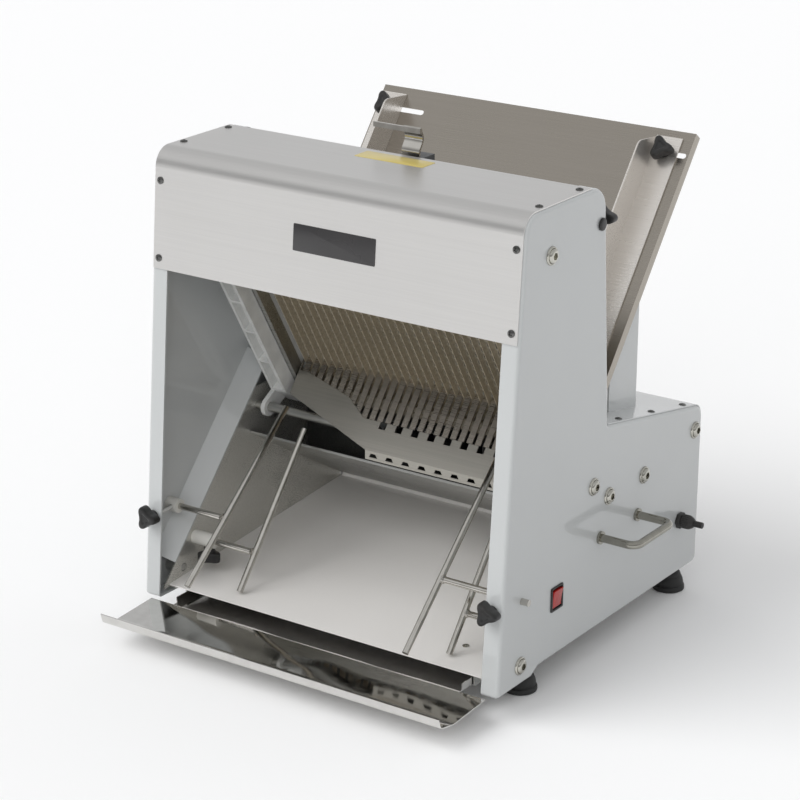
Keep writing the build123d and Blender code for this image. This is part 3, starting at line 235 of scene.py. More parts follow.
@dataclass(frozen=True)
class Finish:
    """One surface finish with the values of its shader.

    Args:
        slot: Slot of the record that it belongs to.
        light: Lighter tone, linear.
        dark: Darker tone, linear.
        metallic: 1 for bare metal.
        rough: Roughness of the smoothest and of the dullest places.
        texture: How the surface is worked.
        relief: Depth of the relief in metres.
        lean: Turn of the pattern about X.
        coat: Weight of the clear coat.
        ground: Painted highlight tone on the ground edges, where the mesh marks them, linear.
        coat_rough: Roughness of the clear coat.
        strength: Strength of the relief.
        name: Name of the material, where it differs from the slot.
    """

    slot: str
    light: Colour
    dark: Colour
    metallic: float
    rough: Pair
    texture: Texture
    relief: float
    lean: Lean = Lean.LEVEL
    coat: float = 0.0
    ground: Colour | None = None
    coat_rough: float = 0.05
    strength: float = 0.6
    name: str = ""

    def material(self) -> bpy.types.Material:
        """Build the material, or return it where it is built already."""
        name = "finish_" + (self.name or self.slot)
        if name in bpy.data.materials:
            return bpy.data.materials[name]
        made = bpy.data.materials.new(name)
        made.use_nodes = True
        tree = made.node_tree
        place = add_node(tree, "ShaderNodeTexCoord", {})
        turn = add_node(tree, "ShaderNodeMapping", {
            "Vector": place.outputs["Object"], "Rotation": (-math.radians(self.lean.value), 0.0, 0.0),
        })
        surface = add_node(tree, "ShaderNodeGroup", {
            "Vector": turn.outputs["Vector"], "Light": (*self.light, 1.0), "Dark": (*self.dark, 1.0),
            "Smooth": self.rough[0], "Rough": self.rough[1],
        }, node_tree=SURFACES[self.texture])
        bump = add_node(tree, "ShaderNodeBump", {
            "Height": surface.outputs["Height"], "Strength": self.strength, "Distance": self.relief,
        })
        tone = surface.outputs["Colour"]
        # Where the mesh marks ground edges, a pale painted highlight tone is mixed into the colour.
        if self.ground:
            highlight_mark = add_node(tree, "ShaderNodeAttribute", {}, attribute_name="ground")
            tone = mix_colours(tree, highlight_mark.outputs["Fac"], tone, (*self.ground, 1.0))
        fill(tree, tree.nodes["Principled BSDF"], {
            "Base Color": tone, "Metallic": self.metallic, "Roughness": surface.outputs["Roughness"],
            "Normal": bump.outputs["Normal"], "Coat Weight": self.coat, "Coat Roughness": self.coat_rough,
        })
        return made


WHITE_PAINT = Finish(
    "white_paint", (0.565, 0.582, 0.582), (0.555, 0.572, 0.572), 0.0, (0.3, 0.36), Texture.FILM, 0.00002, coat=1.0
)
GREY_COVER = Finish(
    "grey_cover", (0.69, 0.68, 0.665), (0.66, 0.65, 0.635), 0.92, (0.3, 0.36), Texture.BRUSHED, 0.0000012
)
CREAM_PAINT = Finish(
    "cream_paint", (0.86, 0.84, 0.815), (0.845, 0.825, 0.80), 0.1, (0.3, 0.38), Texture.FILM, 0.00002, coat=0.3
)
DISCHARGE_SHEET = Finish(
    "cream_paint", (0.47, 0.45, 0.405), (0.41, 0.395, 0.355), 0.85, (0.26, 0.38),
    Texture.BRUSHED, 0.000003, Lean.CHUTE, name="discharge_sheet",
)
CASTING = Finish("casting", (0.80, 0.805, 0.79), (0.70, 0.705, 0.69), 0.1, (0.38, 0.55), Texture.MOULDED, 0.00008)
STAINLESS = Finish(
    "stainless", (0.62, 0.605, 0.575), (0.52, 0.505, 0.48), 1.0, (0.2, 0.34), Texture.BRUSHED, 0.000003
)
INNER_SHEET = Finish(
    "stainless", (0.66, 0.65, 0.61), (0.60, 0.59, 0.55), 0.7, (0.24, 0.36),
    Texture.BRUSHED, 0.000003, Lean.UPRIGHT, name="inner_sheet",
)
# Stainless of the infeed chute, darkened and browned as painted shade, a shaded copy of the stainless finish.
CHUTE_SHEET_PAINTED_SHADE = Finish(
    "stainless", (0.385, 0.353, 0.31), (0.365, 0.335, 0.293), 1.0, (0.24, 0.29),
    Texture.BRUSHED, 0.000003, Lean.CHUTE, name="chute_sheet_painted_shade",
)
# Stainless of the infeed guides, lightened as painted light, a lit copy of the stainless finish.
GUIDE_SHEET_PAINTED_LIGHT = Finish(
    "stainless", (0.78, 0.745, 0.70), (0.745, 0.71, 0.667), 0.8, (0.25, 0.31),
    Texture.BRUSHED, 0.000003, Lean.CHUTE, name="guide_sheet_painted_light",
)
POLISHED = Finish("polished", (0.70, 0.69, 0.67), (0.65, 0.64, 0.62), 1.0, (0.03, 0.08), Texture.MIRROR, 0.003)
TABLE_SHEET = Finish(
    "polished", (0.52, 0.475, 0.415), (0.42, 0.385, 0.335), 0.9, (0.2, 0.34),
    Texture.BRUSHED, 0.000003, Lean.CHUTE, name="table_sheet",
)
OUTLET_ROD = Finish(
    "stainless", (0.62, 0.60, 0.56), (0.55, 0.53, 0.49), 1.0, (0.1, 0.18), Texture.MIRROR, 0.00005, name="outlet_rod"
)
HANDLE_ROD = Finish(
    "polished", (0.36, 0.35, 0.31), (0.31, 0.30, 0.265), 1.0, (0.08, 0.16), Texture.MIRROR, 0.00005, name="handle_rod"
)
# Golden blade steel; its ground toothed edges get a pale painted highlight tone.
BLADE_STEEL = Finish(
    "blade_steel", (0.70, 0.62, 0.475), (0.50, 0.435, 0.325), 0.55, (0.28, 0.42),
    Texture.BRUSHED, 0.000004, Lean.BLADES, ground=(0.94, 0.88, 0.76),
)
BRIGHT_BOLT = Finish(
    "bright_bolt", (0.56, 0.55, 0.50), (0.42, 0.41, 0.37), 1.0, (0.08, 0.16), Texture.MOULDED, 0.000004
)
SCREW_STEEL = Finish(
    "bright_bolt", (0.20, 0.20, 0.195), (0.12, 0.12, 0.115), 1.0, (0.2, 0.32),
    Texture.MOULDED, 0.000004, name="screw_steel",
)
STEEL = Finish("steel", (0.56, 0.56, 0.54), (0.44, 0.44, 0.42), 1.0, (0.24, 0.4), Texture.BRUSHED, 0.00001)
DARK_METAL = Finish(
    "dark_metal", (0.085, 0.088, 0.092), (0.06, 0.062, 0.066), 0.2, (0.35, 0.5), Texture.MOULDED, 0.00006
)
BLACK_PLASTIC = Finish(
    "black_plastic", (0.022, 0.021, 0.02), (0.012, 0.012, 0.012), 0.0, (0.28, 0.42), Texture.MOULDED, 0.00002
)
BLACK_RUBBER = Finish(
    "black_rubber", (0.024, 0.024, 0.024), (0.014, 0.014, 0.014), 0.0, (0.5, 0.68), Texture.MOULDED, 0.00004
)
NYLON = Finish("nylon", (0.70, 0.69, 0.65), (0.64, 0.63, 0.59), 0.0, (0.35, 0.5), Texture.MOULDED, 0.00002)
RED_PLASTIC = Finish(
    "red_plastic", (0.52, 0.022, 0.016), (0.40, 0.014, 0.012), 0.0, (0.18, 0.28), Texture.MOULDED, 0.000005, coat=0.3
)
BADGE_PLATE = Finish(
    "black_plastic", (0.035, 0.033, 0.034), (0.026, 0.025, 0.026), 0.0, (0.2, 0.3),
    Texture.FILM, 0.00001, coat=0.3, name="badge_plate",
)
YELLOW_FOIL = Finish(
    "grey_cover", (0.58, 0.465, 0.115), (0.545, 0.43, 0.10), 0.0, (0.28, 0.4),
    Texture.FILM, 0.000002, coat=0.2, name="yellow_foil",
)
SLOT_FINISHES = {
    finish.slot: finish
    for finish in (
        WHITE_PAINT, GREY_COVER, CREAM_PAINT, CASTING, STAINLESS, POLISHED, BLADE_STEEL, BRIGHT_BOLT, STEEL,
        DARK_METAL, BLACK_PLASTIC, BLACK_RUBBER, NYLON, RED_PLASTIC,
    )
}
OWN_FINISHES = {
    "discharge_plate": DISCHARGE_SHEET,
    "inner_side_plates": INNER_SHEET,
    "infeed_chute": CHUTE_SHEET_PAINTED_SHADE,
    "slotted_table": TABLE_SHEET,
    "carrying_handles": HANDLE_ROD,
    "press_strip": OUTLET_ROD,
    **{f"infeed_guide_{side}": GUIDE_SHEET_PAINTED_LIGHT for side in ("left", "right")},
    **{f"{end}_{side}_rod": OUTLET_ROD for end in ("front", "rear") for side in ("left", "right")},
}


# Mesh tools, with lengths in millimetres


def in_scene(name: str, data: bpy.types.ID) -> Object:
    """Make an object and link it to the scene."""
    made = bpy.data.objects.new(name, data)
    bpy.context.scene.collection.objects.link(made)
    return made


def piece_from(name: str, shape: Shape, finish: Finish, sharp: float) -> Object:
    """Turn a bmesh into a finished object.

    Args:
        name: Name of the object.
        shape: Its mesh, freed here.
        finish: Its finish.
        sharp: Edges past this angle, in degrees, stay sharp.

    Returns:
        The object, linked to the scene.
    """
    bmesh.ops.recalc_face_normals(shape, faces=shape.faces)
    mesh = bpy.data.meshes.new(name)
    shape.to_mesh(mesh)
    shape.free()
    mesh.materials.append(finish.material())
    mesh.shade_smooth()
    mesh.set_sharp_from_angle(angle=math.radians(sharp))
    return in_scene(name, mesh)


def seat(origin: Point, axis: Point, across: Point = ALONG_X) -> Matrix:
    """Matrix whose Z runs along an axis.

    Args:
        origin: Place of the local origin.
        axis: Direction of the local Z.
        across: Direction of the local X.

    Returns:
        The placing matrix, in metres.
    """
    z = Vector(axis).normalized()
    x = (Vector(across) - Vector(across).dot(z) * z).normalized()
    turn = Matrix((x, z.cross(x), z)).transposed().to_4x4()
    return Matrix.Translation(Vector(origin) * MM) @ turn


def side_seat(side: float, origin: Point) -> Matrix:
    """Seat whose Z runs to the right for side 1 and to the left for side -1."""
    return seat(origin, (side, 0.0, 0.0), ALONG_Y)


def add_rings(shape: Shape, rings: list[Ring], place: Matrix, closed: bool = True) -> None:
    """Skin closed rings of equal count, one after the other, from a capped first ring.

    Args:
        shape: Mesh that gets the skin.
        rings: Points of each ring.
        place: Matrix applied to every point.
        closed: Cap the last ring too.
    """
    rows = [[shape.verts.new(place @ p) for p in ring] for ring in rings]
    for low, high in zip(rows, rows[1:]):
        for i in range(len(low)):
            j = (i + 1) % len(low)
            shape.faces.new((low[i], low[j], high[j], high[i]))
    shape.faces.new(list(reversed(rows[0])))
    if closed:
        shape.faces.new(rows[-1])


def ring_of(radius: float | Radius, z: float, steps: int) -> Ring:
    """Points about the local Z at one height.

    Args:
        radius: Radius, or the function that gives it at each angle.
        z: Height of the ring.
        steps: Number of points.

    Returns:
        The points.
    """
    ring = []
    for i in range(steps):
        turn = 2 * math.pi * i / steps
        r = radius(turn) if callable(radius) else radius
        ring.append(Vector((r * math.cos(turn) * MM, r * math.sin(turn) * MM, z * MM)))
    return ring


def hexagon(corner: float) -> Radius:
    """Radius of a hexagon at each angle, from the radius of its corners."""
    sixth = math.pi / 3
    return lambda turn: corner * math.cos(sixth / 2) / math.cos(turn % sixth - sixth / 2)


def plate_ring(wide: float, high: float, corner: float, z: float, inset: float = 0.0) -> Ring:
    """Points of a rectangle with round corners at one height.

    Args:
        wide: Width.
        high: Depth.
        corner: Corner radius.
        z: Height of the ring.
        inset: What the ring stands back from the outline.

    Returns:
        The points.
    """
    ring = []
    for quarter, (sx, sy) in enumerate(((1, 1), (-1, 1), (-1, -1), (1, -1))):
        for step in range(7):
            turn = math.radians(quarter * 90 + step * 15)
            x = sx * (wide / 2 - corner) + (corner - inset) * math.cos(turn)
            y = sy * (high / 2 - corner) + (corner - inset) * math.sin(turn)
            ring.append(Vector((x * MM, y * MM, z * MM)))
    return ring


def add_lathe(shape: Shape, profile: list[Pair], place: Matrix, steps: int = 40) -> None:
    """Turn a profile about the local Z.

    Args:
        shape: Mesh that gets the turned form.
        profile: Radius and height of each ring.
        place: Placing matrix.
        steps: Points of a ring.
    """
    add_rings(shape, [ring_of(r, z, steps) for r, z in profile], place)


def thread(crest: float, root: float, low: float, high: float, turns: int) -> list[Pair]:
    """Profile of a thread for the lathe, which starts on a root or, with the radii exchanged, on a crest."""
    return [(crest if i % 2 else root, low + (high - low) * i / turns) for i in range(turns + 1)]


# Repeats by Geometry Nodes


def end_tree(tree: Tree, piece: str, inputs: dict[str | int, object]) -> Tree:
    """End a tree: set a piece on points, make the copies real and give them their finish.

    Args:
        tree: The tree.
        piece: Input that names the repeated object.
        inputs: Points of the instancing node, and what turns and scales the copies.

    Returns:
        The tree.
    """
    enter = tree.nodes["in"].outputs
    info = add_node(tree, "GeometryNodeObjectInfo", {"Object": enter[piece]})
    put = add_node(tree, "GeometryNodeInstanceOnPoints", {"Instance": info.outputs["Geometry"], **inputs})
    real = add_node(tree, "GeometryNodeRealizeInstances", {"Geometry": put.outputs["Instances"]})
    paint = add_node(tree, "GeometryNodeSetMaterial", {
        "Geometry": real.outputs["Geometry"], "Material": enter["Finish"],
    })
    fill(tree, tree.nodes["out"], {"Geometry": paint.outputs["Geometry"]})
    return tree


def head_tree() -> Tree:
    """Geometry Nodes tree that sets a head on every point, along the point's axis, turned at random."""
    tree = new_tree("heads_on_points", "GeometryNodeTree", {
        "Geometry": "Geometry", "Head": "Object", "Size": "Float", "Turn": "Float", "Seed": "Int",
        "Finish": "Material",
    }, {"Geometry": "Geometry"})
    enter = tree.nodes["in"].outputs
    axis = add_node(tree, "GeometryNodeInputNamedAttribute", {"Name": "axis"}, data_type="FLOAT_VECTOR")
    aim = add_node(tree, "FunctionNodeAlignRotationToVector", {"Vector": axis.outputs["Attribute"]}, axis="Z")
    chance = add_node(tree, "FunctionNodeRandomValue", {"Seed": enter["Seed"]}, data_type="FLOAT")
    fill(tree, chance, {typed(chance.inputs, "VALUE", "Max")[0]: enter["Turn"]})
    drawn = chance.outputs[typed(chance.outputs, "VALUE")[0]]
    spin = add_node(tree, "FunctionNodeAxisAngleToRotation", {"Axis": ALONG_Z, "Angle": drawn})
    turned = add_node(tree, "FunctionNodeRotateRotation", {
        "Rotation": aim.outputs["Rotation"], "Rotate By": spin.outputs["Rotation"],
    }, rotation_space="LOCAL")
    return end_tree(tree, "Head", {
        "Points": enter["Geometry"], "Rotation": turned.outputs["Rotation"], "Scale": enter["Size"],
    })


def row_tree() -> Tree:
    """Geometry Nodes tree that repeats a piece along X at an even pitch."""
    tree = new_tree("pieces_in_a_row", "GeometryNodeTree", {
        "Piece": "Object", "Count": "Int", "First": "Float", "Pitch": "Float", "Finish": "Material",
    }, {"Geometry": "Geometry"})
    enter = tree.nodes["in"].outputs
    start, step = (add_node(tree, "ShaderNodeCombineXYZ", {"X": enter[name]}) for name in ("First", "Pitch"))
    line = add_node(tree, "GeometryNodeMeshLine", {
        "Count": enter["Count"], "Start Location": start.outputs["Vector"], "Offset": step.outputs["Vector"],
    })
    return end_tree(tree, "Piece", {"Points": line.outputs["Mesh"]})


def grow(carrier: Object, tree: Tree, values: dict[str, object]) -> Object:
    """Run a Geometry Nodes tree on an object and keep its result as a plain mesh.

    Args:
        carrier: Object that the tree starts from.
        tree: The tree.
        values: Value of each named input.

    Returns:
        The same object with the grown mesh and no modifier.
    """
    modifier = carrier.modifiers.new("grow", "NODES")
    modifier.node_group = tree
    for item in tree.interface.items_tree:
        if item.item_type == "SOCKET" and item.in_out == "INPUT" and item.name in values:
            modifier[item.identifier] = values[item.name]
    graph = bpy.context.evaluated_depsgraph_get()
    mesh = bpy.data.meshes.new_from_object(carrier.evaluated_get(graph))
    carrier.modifiers.remove(modifier)
    carrier.data = mesh
    return carrier


HEADS = head_tree()
ROW = row_tree()


def grow_heads(
    name: str, master: Object, places: list[Matrix], finish: Finish, turn: float, seed: int, size: float = 1.0
) -> Object:
    """Set copies of a master on many places.

    Args:
        name: Name of the piece.
        master: Object that is repeated.
        places: Seat of each copy.
        finish: Finish of the copies.
        turn: Greatest random turn about the seat's axis, in radians.
        seed: Seed of the turns.
        size: Scale of the copies.

    Returns:
        The piece with all the copies.
    """
    mesh = bpy.data.meshes.new(name)
    mesh.from_pydata([m.translation for m in places], [], [])
    axes = mesh.attributes.new("axis", "FLOAT_VECTOR", "POINT")
    for value, m in zip(axes.data, places):
        value.vector = m.to_3x3() @ Vector(ALONG_Z)
    return grow(in_scene(name, mesh), HEADS, {
        "Head": master, "Size": size, "Turn": turn, "Seed": seed, "Finish": finish.material(),
    })


def settle(piece: Object, body: str, finish: Finish, *nodes: str) -> None:
    """Hang a finished piece on its body.

    Args:
        piece: The piece.
        body: Body that it moves with.
        finish: Not used.
        nodes: CAD nodes that it stands for.
    """
    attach(piece, body)
    if nodes:
        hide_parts(*nodes)
    log.info("%s rides %s, %d faces", piece.name, body, len(piece.data.polygons))


def add_piece(name: str, shape: Shape, finish: Finish, sharp: float, body: str, *nodes: str) -> None:
    """Turn a bmesh into a finished piece and settle it, with the arguments of piece_from and settle."""
    settle(piece_from(name, shape, finish, sharp), body, finish, *nodes)


# Sub-assemblies of the machine, with lengths in millimetres


@dataclass
class Body:
    """Outline of the body, and the lines of other parts that several sub-assemblies sit on."""

    half: float = 260.0
    inside: float = 257.5
    rim_in: float = 237.0
    front_y: float = -162.0
    front_lean: float = 4.4
    rear_lean: float = 4.3
    cover_low: float = 447.5
    top: float = 591.5
    cover_sheet: float = 1.5
    low_top: float = 294.0
    low_slope: float = 10.5
    tall_back: float = 202.5
    back: float = 438.7
    cross: Pair = (48.7, 289.5)
    press_rod: Pair = (8.9, 547.0)
    front_rod: Pair = (-145.8, 137.0)
    rear_rod: Pair = (-122.8, 90.0)

    def front(self, z: float) -> float:
        """Y of the panels' front edge at a height."""
        return self.front_y + (z - self.cover_low) * math.tan(math.radians(self.front_lean))

    def low(self, y: float) -> float:
        """Height of the low top edge at a depth."""
        return self.low_top - (y - self.front_y - self.tall_back) * math.tan(math.radians(self.low_slope))

    def cover_front(self, x: float, z: float) -> Matrix:
        """Seat on the front of the cover."""
        lean = math.radians(self.front_lean)
        y = self.front(z) - self.cover_sheet / math.cos(lean)
        return seat((x, y, z), (0.0, -math.cos(lean), math.sin(lean)))

    def cover_top(self, x: float, y: float) -> Matrix:
        """Seat on the top of the cover."""
        return seat((x, y, self.top + self.cover_sheet), ALONG_Z)

    def dress(self, nodes: dict[str, Object]) -> None:
        """Give every CAD node its finish, by its slot or by name where it has its own.

        Args:
            nodes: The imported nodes.
        """
        for name, node in nodes.items():
            for slot in node.material_slots:
                finish = OWN_FINISHES.get(name) or SLOT_FINISHES[slot.material.name.split(".")[0]]
                slot.material = finish.material()
            log.info("%s dressed", name)


@dataclass
class CoverFittings:
    """Screws, bare badge plate and plain foil on the covers, and the screw in the outlet plate."""

    body: Body
    head: float = 4.5
    edge: float = 0.9
    rise: float = 2.0
    recess: float = 1.1
    column: float = 249.0
    front_rows: Pair = (460.5, 554.5)
    top_rows: Pair = (52.0, 138.0)
    rear_rows: tuple[float, float, float] = (245.0, 325.0, 405.0)
    wall_rows: tuple[float, float, float] = (65.0, 140.0, 215.0)
    badge_size: Pair = (115.0, 32.0)
    badge_middle: Pair = (6.5, 519.5)
    badge_edge: Pair = (0.8, 1.2)
    foil_size: Pair = (97.0, 28.0)
    foil_middle: Pair = (4.5, -34.0)
    foil_edge: Pair = (0.25, 2.0)
    outlet_front: Pair = (-176.3, 44.0)
    outlet_rise: float = 4.5
    outlet_screw: Pair = (170.3, 53.4)
    quarter_turn: float = 1.57

    def screw_places(self) -> list[Matrix]:
        """Seats of all the cover screws."""
        b = self.body
        slope = math.radians(b.low_slope)
        made = []
        for x in (-self.column, self.column):
            made += [b.cover_front(x, z) for z in self.front_rows]
            made += [b.cover_top(x, b.front_y + back) for back in self.top_rows]
            for back in self.rear_rows:
                y = b.front_y + back
                z = b.low(y) + b.cover_sheet / math.cos(slope)
                made.append(seat((x, y, z), (0.0, math.sin(slope), math.cos(slope))))
            made += [seat((x, b.front_y + b.back + b.cover_sheet, z), ALONG_Y) for z in self.wall_rows]
        return made

    def outlet_place(self) -> Matrix:
        """Seat of the screw in the outlet plate."""
        rise = math.radians(self.outlet_rise)
        x, back = self.outlet_screw
        y, z = self.outlet_front
        return seat((x, y + back, z + back * math.tan(rise)), (0.0, -math.sin(rise), math.cos(rise)))

    def screw_head(self) -> Object:
        """Master of a pan head with a cross recess."""
        shape = bmesh.new()
        steps = 48
        rings = [ring_of(self.head, z, steps) for z in (0.0, self.edge)]
        for share in (0.97, 0.9, 0.8, 0.68, 0.6, 0.52, 0.44, 0.36, 0.28, 0.2, 0.12, 0.05):
            ring = ring_of(self.head * share, 0.0, steps)
            dome = self.edge + (self.rise - self.edge) * (1.0 - share**2)
            for p in ring:
                arm, reach = sorted((abs(p.x) / MM, abs(p.y) / MM))
                cut = max(0.0, min(1.0, (0.75 - arm) / 0.25)) * max(0.0, min(1.0, (2.7 - reach) / 0.35))
                p.z = (dome - self.recess * cut) * MM
            rings.append(ring)
        add_rings(shape, rings, Matrix.Identity(4))
        return piece_from("screw_head_master", shape, SCREW_STEEL, 35.0)

    def plate(self, name: str, size: Pair, edge: Pair, place: Matrix, finish: Finish) -> None:
        """Add a thin plate with round corners and an eased edge.

        Args:
            name: Name of the piece.
            size: Width and height.
            edge: Thickness and corner radius.
            place: Seat of its middle.
            finish: Its finish.
        """
        shape = bmesh.new()
        thick, corner = edge
        ease = thick * 0.4
        rows = ((0.0, 0.0), (0.0, thick - ease), (ease * 0.3, thick - ease * 0.3), (ease, thick))
        add_rings(shape, [plate_ring(*size, corner, z, inset) for inset, z in rows], place)
        add_piece(name, shape, finish, 50.0, "machine")

    def build(self) -> None:
        """Make the screws, the badge plate and the foil."""
        b, master = self.body, self.screw_head()
        heads = grow_heads("cover_screw_heads", master, self.screw_places(), SCREW_STEEL, self.quarter_turn, 4)
        settle(heads, "machine", SCREW_STEEL, "cover_screws")
        heads = grow_heads("outlet_screw_heads", master, [self.outlet_place()], BRIGHT_BOLT, self.quarter_turn, 7, 0.9)
        bpy.data.objects.remove(master)
        settle(heads, "machine", BRIGHT_BOLT)
        self.plate("badge_plate", self.badge_size, self.badge_edge, b.cover_front(*self.badge_middle), BADGE_PLATE)
        self.plate("plain_foil", self.foil_size, self.foil_edge, b.cover_top(*self.foil_middle), YELLOW_FOIL)


@dataclass
class PanelBolts:
    """Domed bolts on cup washers through both side panels: depth, height and shank of each."""

    body: Body
    places: tuple[Point, ...] = (
        (-99.377, 535.943, 43.5),
        (46.216, 203.325, 25.0),
        (9.504, 226.865, 2.5),
        (-147.0, 56.5, 25.0),
        (130.4, 203.1, 28.4),
        (257.7, 222.5, 28.4),
    )
    shank: float = 5.0

    def head(self) -> Object:
        """Master of a domed head with a hexagon recess on its cup washer."""
        shape = bmesh.new()
        washer = [(11.0, 0.0), (11.0, 0.9), (10.7, 1.6), (10.0, 2.2), (9.4, 2.3), (8.9, 1.9), (8.7, 1.2)]
        add_lathe(shape, washer, Matrix.Identity(4))
        dome = ((8.5, 1.0), (8.5, 2.6), (8.2, 3.6), (7.5, 4.5), (6.5, 5.1), (5.6, 5.4), (4.9, 5.5))
        recess = ((hexagon(4.5), 5.45), (hexagon(4.3), 1.6))
        add_rings(shape, [ring_of(r, z, 36) for r, z in dome + recess], Matrix.Identity(4))
        return piece_from("bolt_head_master", shape, BRIGHT_BOLT, 40.0)

    def build(self) -> None:
        """Set the heads on both panels and run their shanks inward."""
        master = self.head()
        seats = []
        shape = bmesh.new()
        r = self.shank
        for side in (-1.0, 1.0):
            for y, z, long in self.places:
                origin = (side * self.body.half, y, z)
                seats.append(side_seat(side, origin))
                add_lathe(shape, [(r, 0.0), (r, long - 0.8), (r - 0.8, long)], side_seat(-side, origin), 28)
        heads = grow_heads("panel_bolt_heads", master, seats, BRIGHT_BOLT, 1.0, 9)
        bpy.data.objects.remove(master)
        settle(heads, "machine", BRIGHT_BOLT, "panel_bolts")
        add_piece("panel_bolt_shanks", shape, STEEL, 35.0, "machine")


@dataclass
class StarKnob:
    """A moulded three-lobed knob on a threaded stud.

    Args:
        node: CAD node that it stands for.
        body: Body that it turns on.
        origin: Place of its neck's foot.
        axis: Direction from the foot to the top.
        stud: Length of the stud behind the foot.
        nut: Radius of the clamp nut at the stud's end, or 0.
        hub: Radius between the lobes.
        tip: Radius of the lobes.
        neck: Radius of the neck.
        neck_high: Height of the neck.
        high: Height of the lobes.
        thread: Radius of the thread's crests and of its roots.
        pitch: Distance from a crest to a root.
    """

    node: str
    body: str
    origin: Point
    axis: Point
    stud: float
    nut: float = 0.0
    hub: float = 9.2
    tip: float = 16.0
    neck: float = 7.0
    neck_high: float = 6.0
    high: float = 13.0
    thread: Pair = (3.0, 2.7)
    pitch: float = 0.5

    def star(self, turn: float) -> float:
        """Radius of the star's outline at an angle."""
        return self.hub + (self.tip - self.hub) * (0.5 + 0.5 * math.cos(3 * turn)) ** 1.6

    def build(self) -> None:
        """Mould the knob, cut its stud and hang it on its body."""
        place = seat(self.origin, self.axis)
        shape = bmesh.new()
        steps = 72
        low, neck = self.neck_high, self.neck
        top = low + self.high
        foot = ((neck - 0.4, 0.0), (neck, 0.4), (neck, low - 1.2), (neck + 0.5, low - 0.3))
        rings = [ring_of(r, z, steps) for r, z in foot]
        for share, z in (
            (0.8, low), (0.93, low + 0.15), (0.985, low + 0.7), (1.0, low + 1.7), (0.995, top - 4.2),
            (0.98, top - 2.6), (0.945, top - 1.3), (0.88, top - 0.45), (0.79, top - 0.08), (0.7, top),
            (0.55, top - 0.05), (0.44, top - 0.25), (0.4, top - 0.8), (0.3, top - 0.9), (0.12, top - 0.9),
        ):
            rings.append(ring_of(lambda turn: self.star(turn) * share, z, steps))
        add_rings(shape, rings, place)
        add_piece(self.node + "_moulding", shape, BLACK_PLASTIC, 50.0, self.body, self.node)
        metal = bmesh.new()
        profile = thread(*self.thread, -self.stud, 0.0, int(self.stud / self.pitch))
        profile[0] = (self.thread[1] - 0.5, -self.stud)
        add_lathe(metal, profile, place, 24)
        if self.nut:
            nut = ((0.93, 0.0), (1.0, 0.35), (1.0, 3.65), (0.93, 4.0))
            add_rings(metal, [ring_of(self.nut * share, z - self.stud, 6) for share, z in nut], place)
        add_piece(self.node + "_stud", metal, STEEL, 35.0, self.body)


@dataclass
class Feet:
    """Rubber feet on threaded studs."""

    column: float = 231.0
    rows: Pair = (-98.3, 259.7)
    radius: float = 20.5
    high: float = 25.0
    stud: float = 4.0
    thread: float = 0.35
    top: float = 45.0

    def build(self) -> None:
        """Turn one foot, set four of them and run their studs up."""
        shape = bmesh.new()
        profile = [(self.radius - back, z) for back, z in (
            (4.0, 0.6), (3.2, 0.0), (1.2, 0.0), (0.3, 0.5), (0.0, 1.6), (0.0, 5.0), (0.5, 6.1), (1.6, 6.6),
            (2.2, 7.2), (2.0, 8.0), (1.6, 9.2), (1.9, 11.6), (2.6, 14.4), (3.7, 17.2), (4.4, 18.4), (4.9, 18.7),
            (5.0, 19.4), (5.2, 20.6), (6.1, 22.8), (7.2, 24.3), (8.4, self.high),
        )]
        add_lathe(shape, profile + [(self.stud + 1.5, self.high)], Matrix.Identity(4), 48)
        master = piece_from("foot_master", shape, BLACK_RUBBER, 40.0)
        places = [seat((side * self.column, y, 0.0), ALONG_Z) for side in (-1, 1) for y in self.rows]
        feet = grow_heads("rubber_feet", master, places, BLACK_RUBBER, 0.0, 1)
        bpy.data.objects.remove(master)
        settle(feet, "machine", BLACK_RUBBER, "feet")
        metal = bmesh.new()
        for place in places:
            add_lathe(metal, thread(self.stud - self.thread, self.stud, self.high, self.top, 40), place, 24)
        add_piece("foot_studs", metal, STEEL, 35.0, "machine")


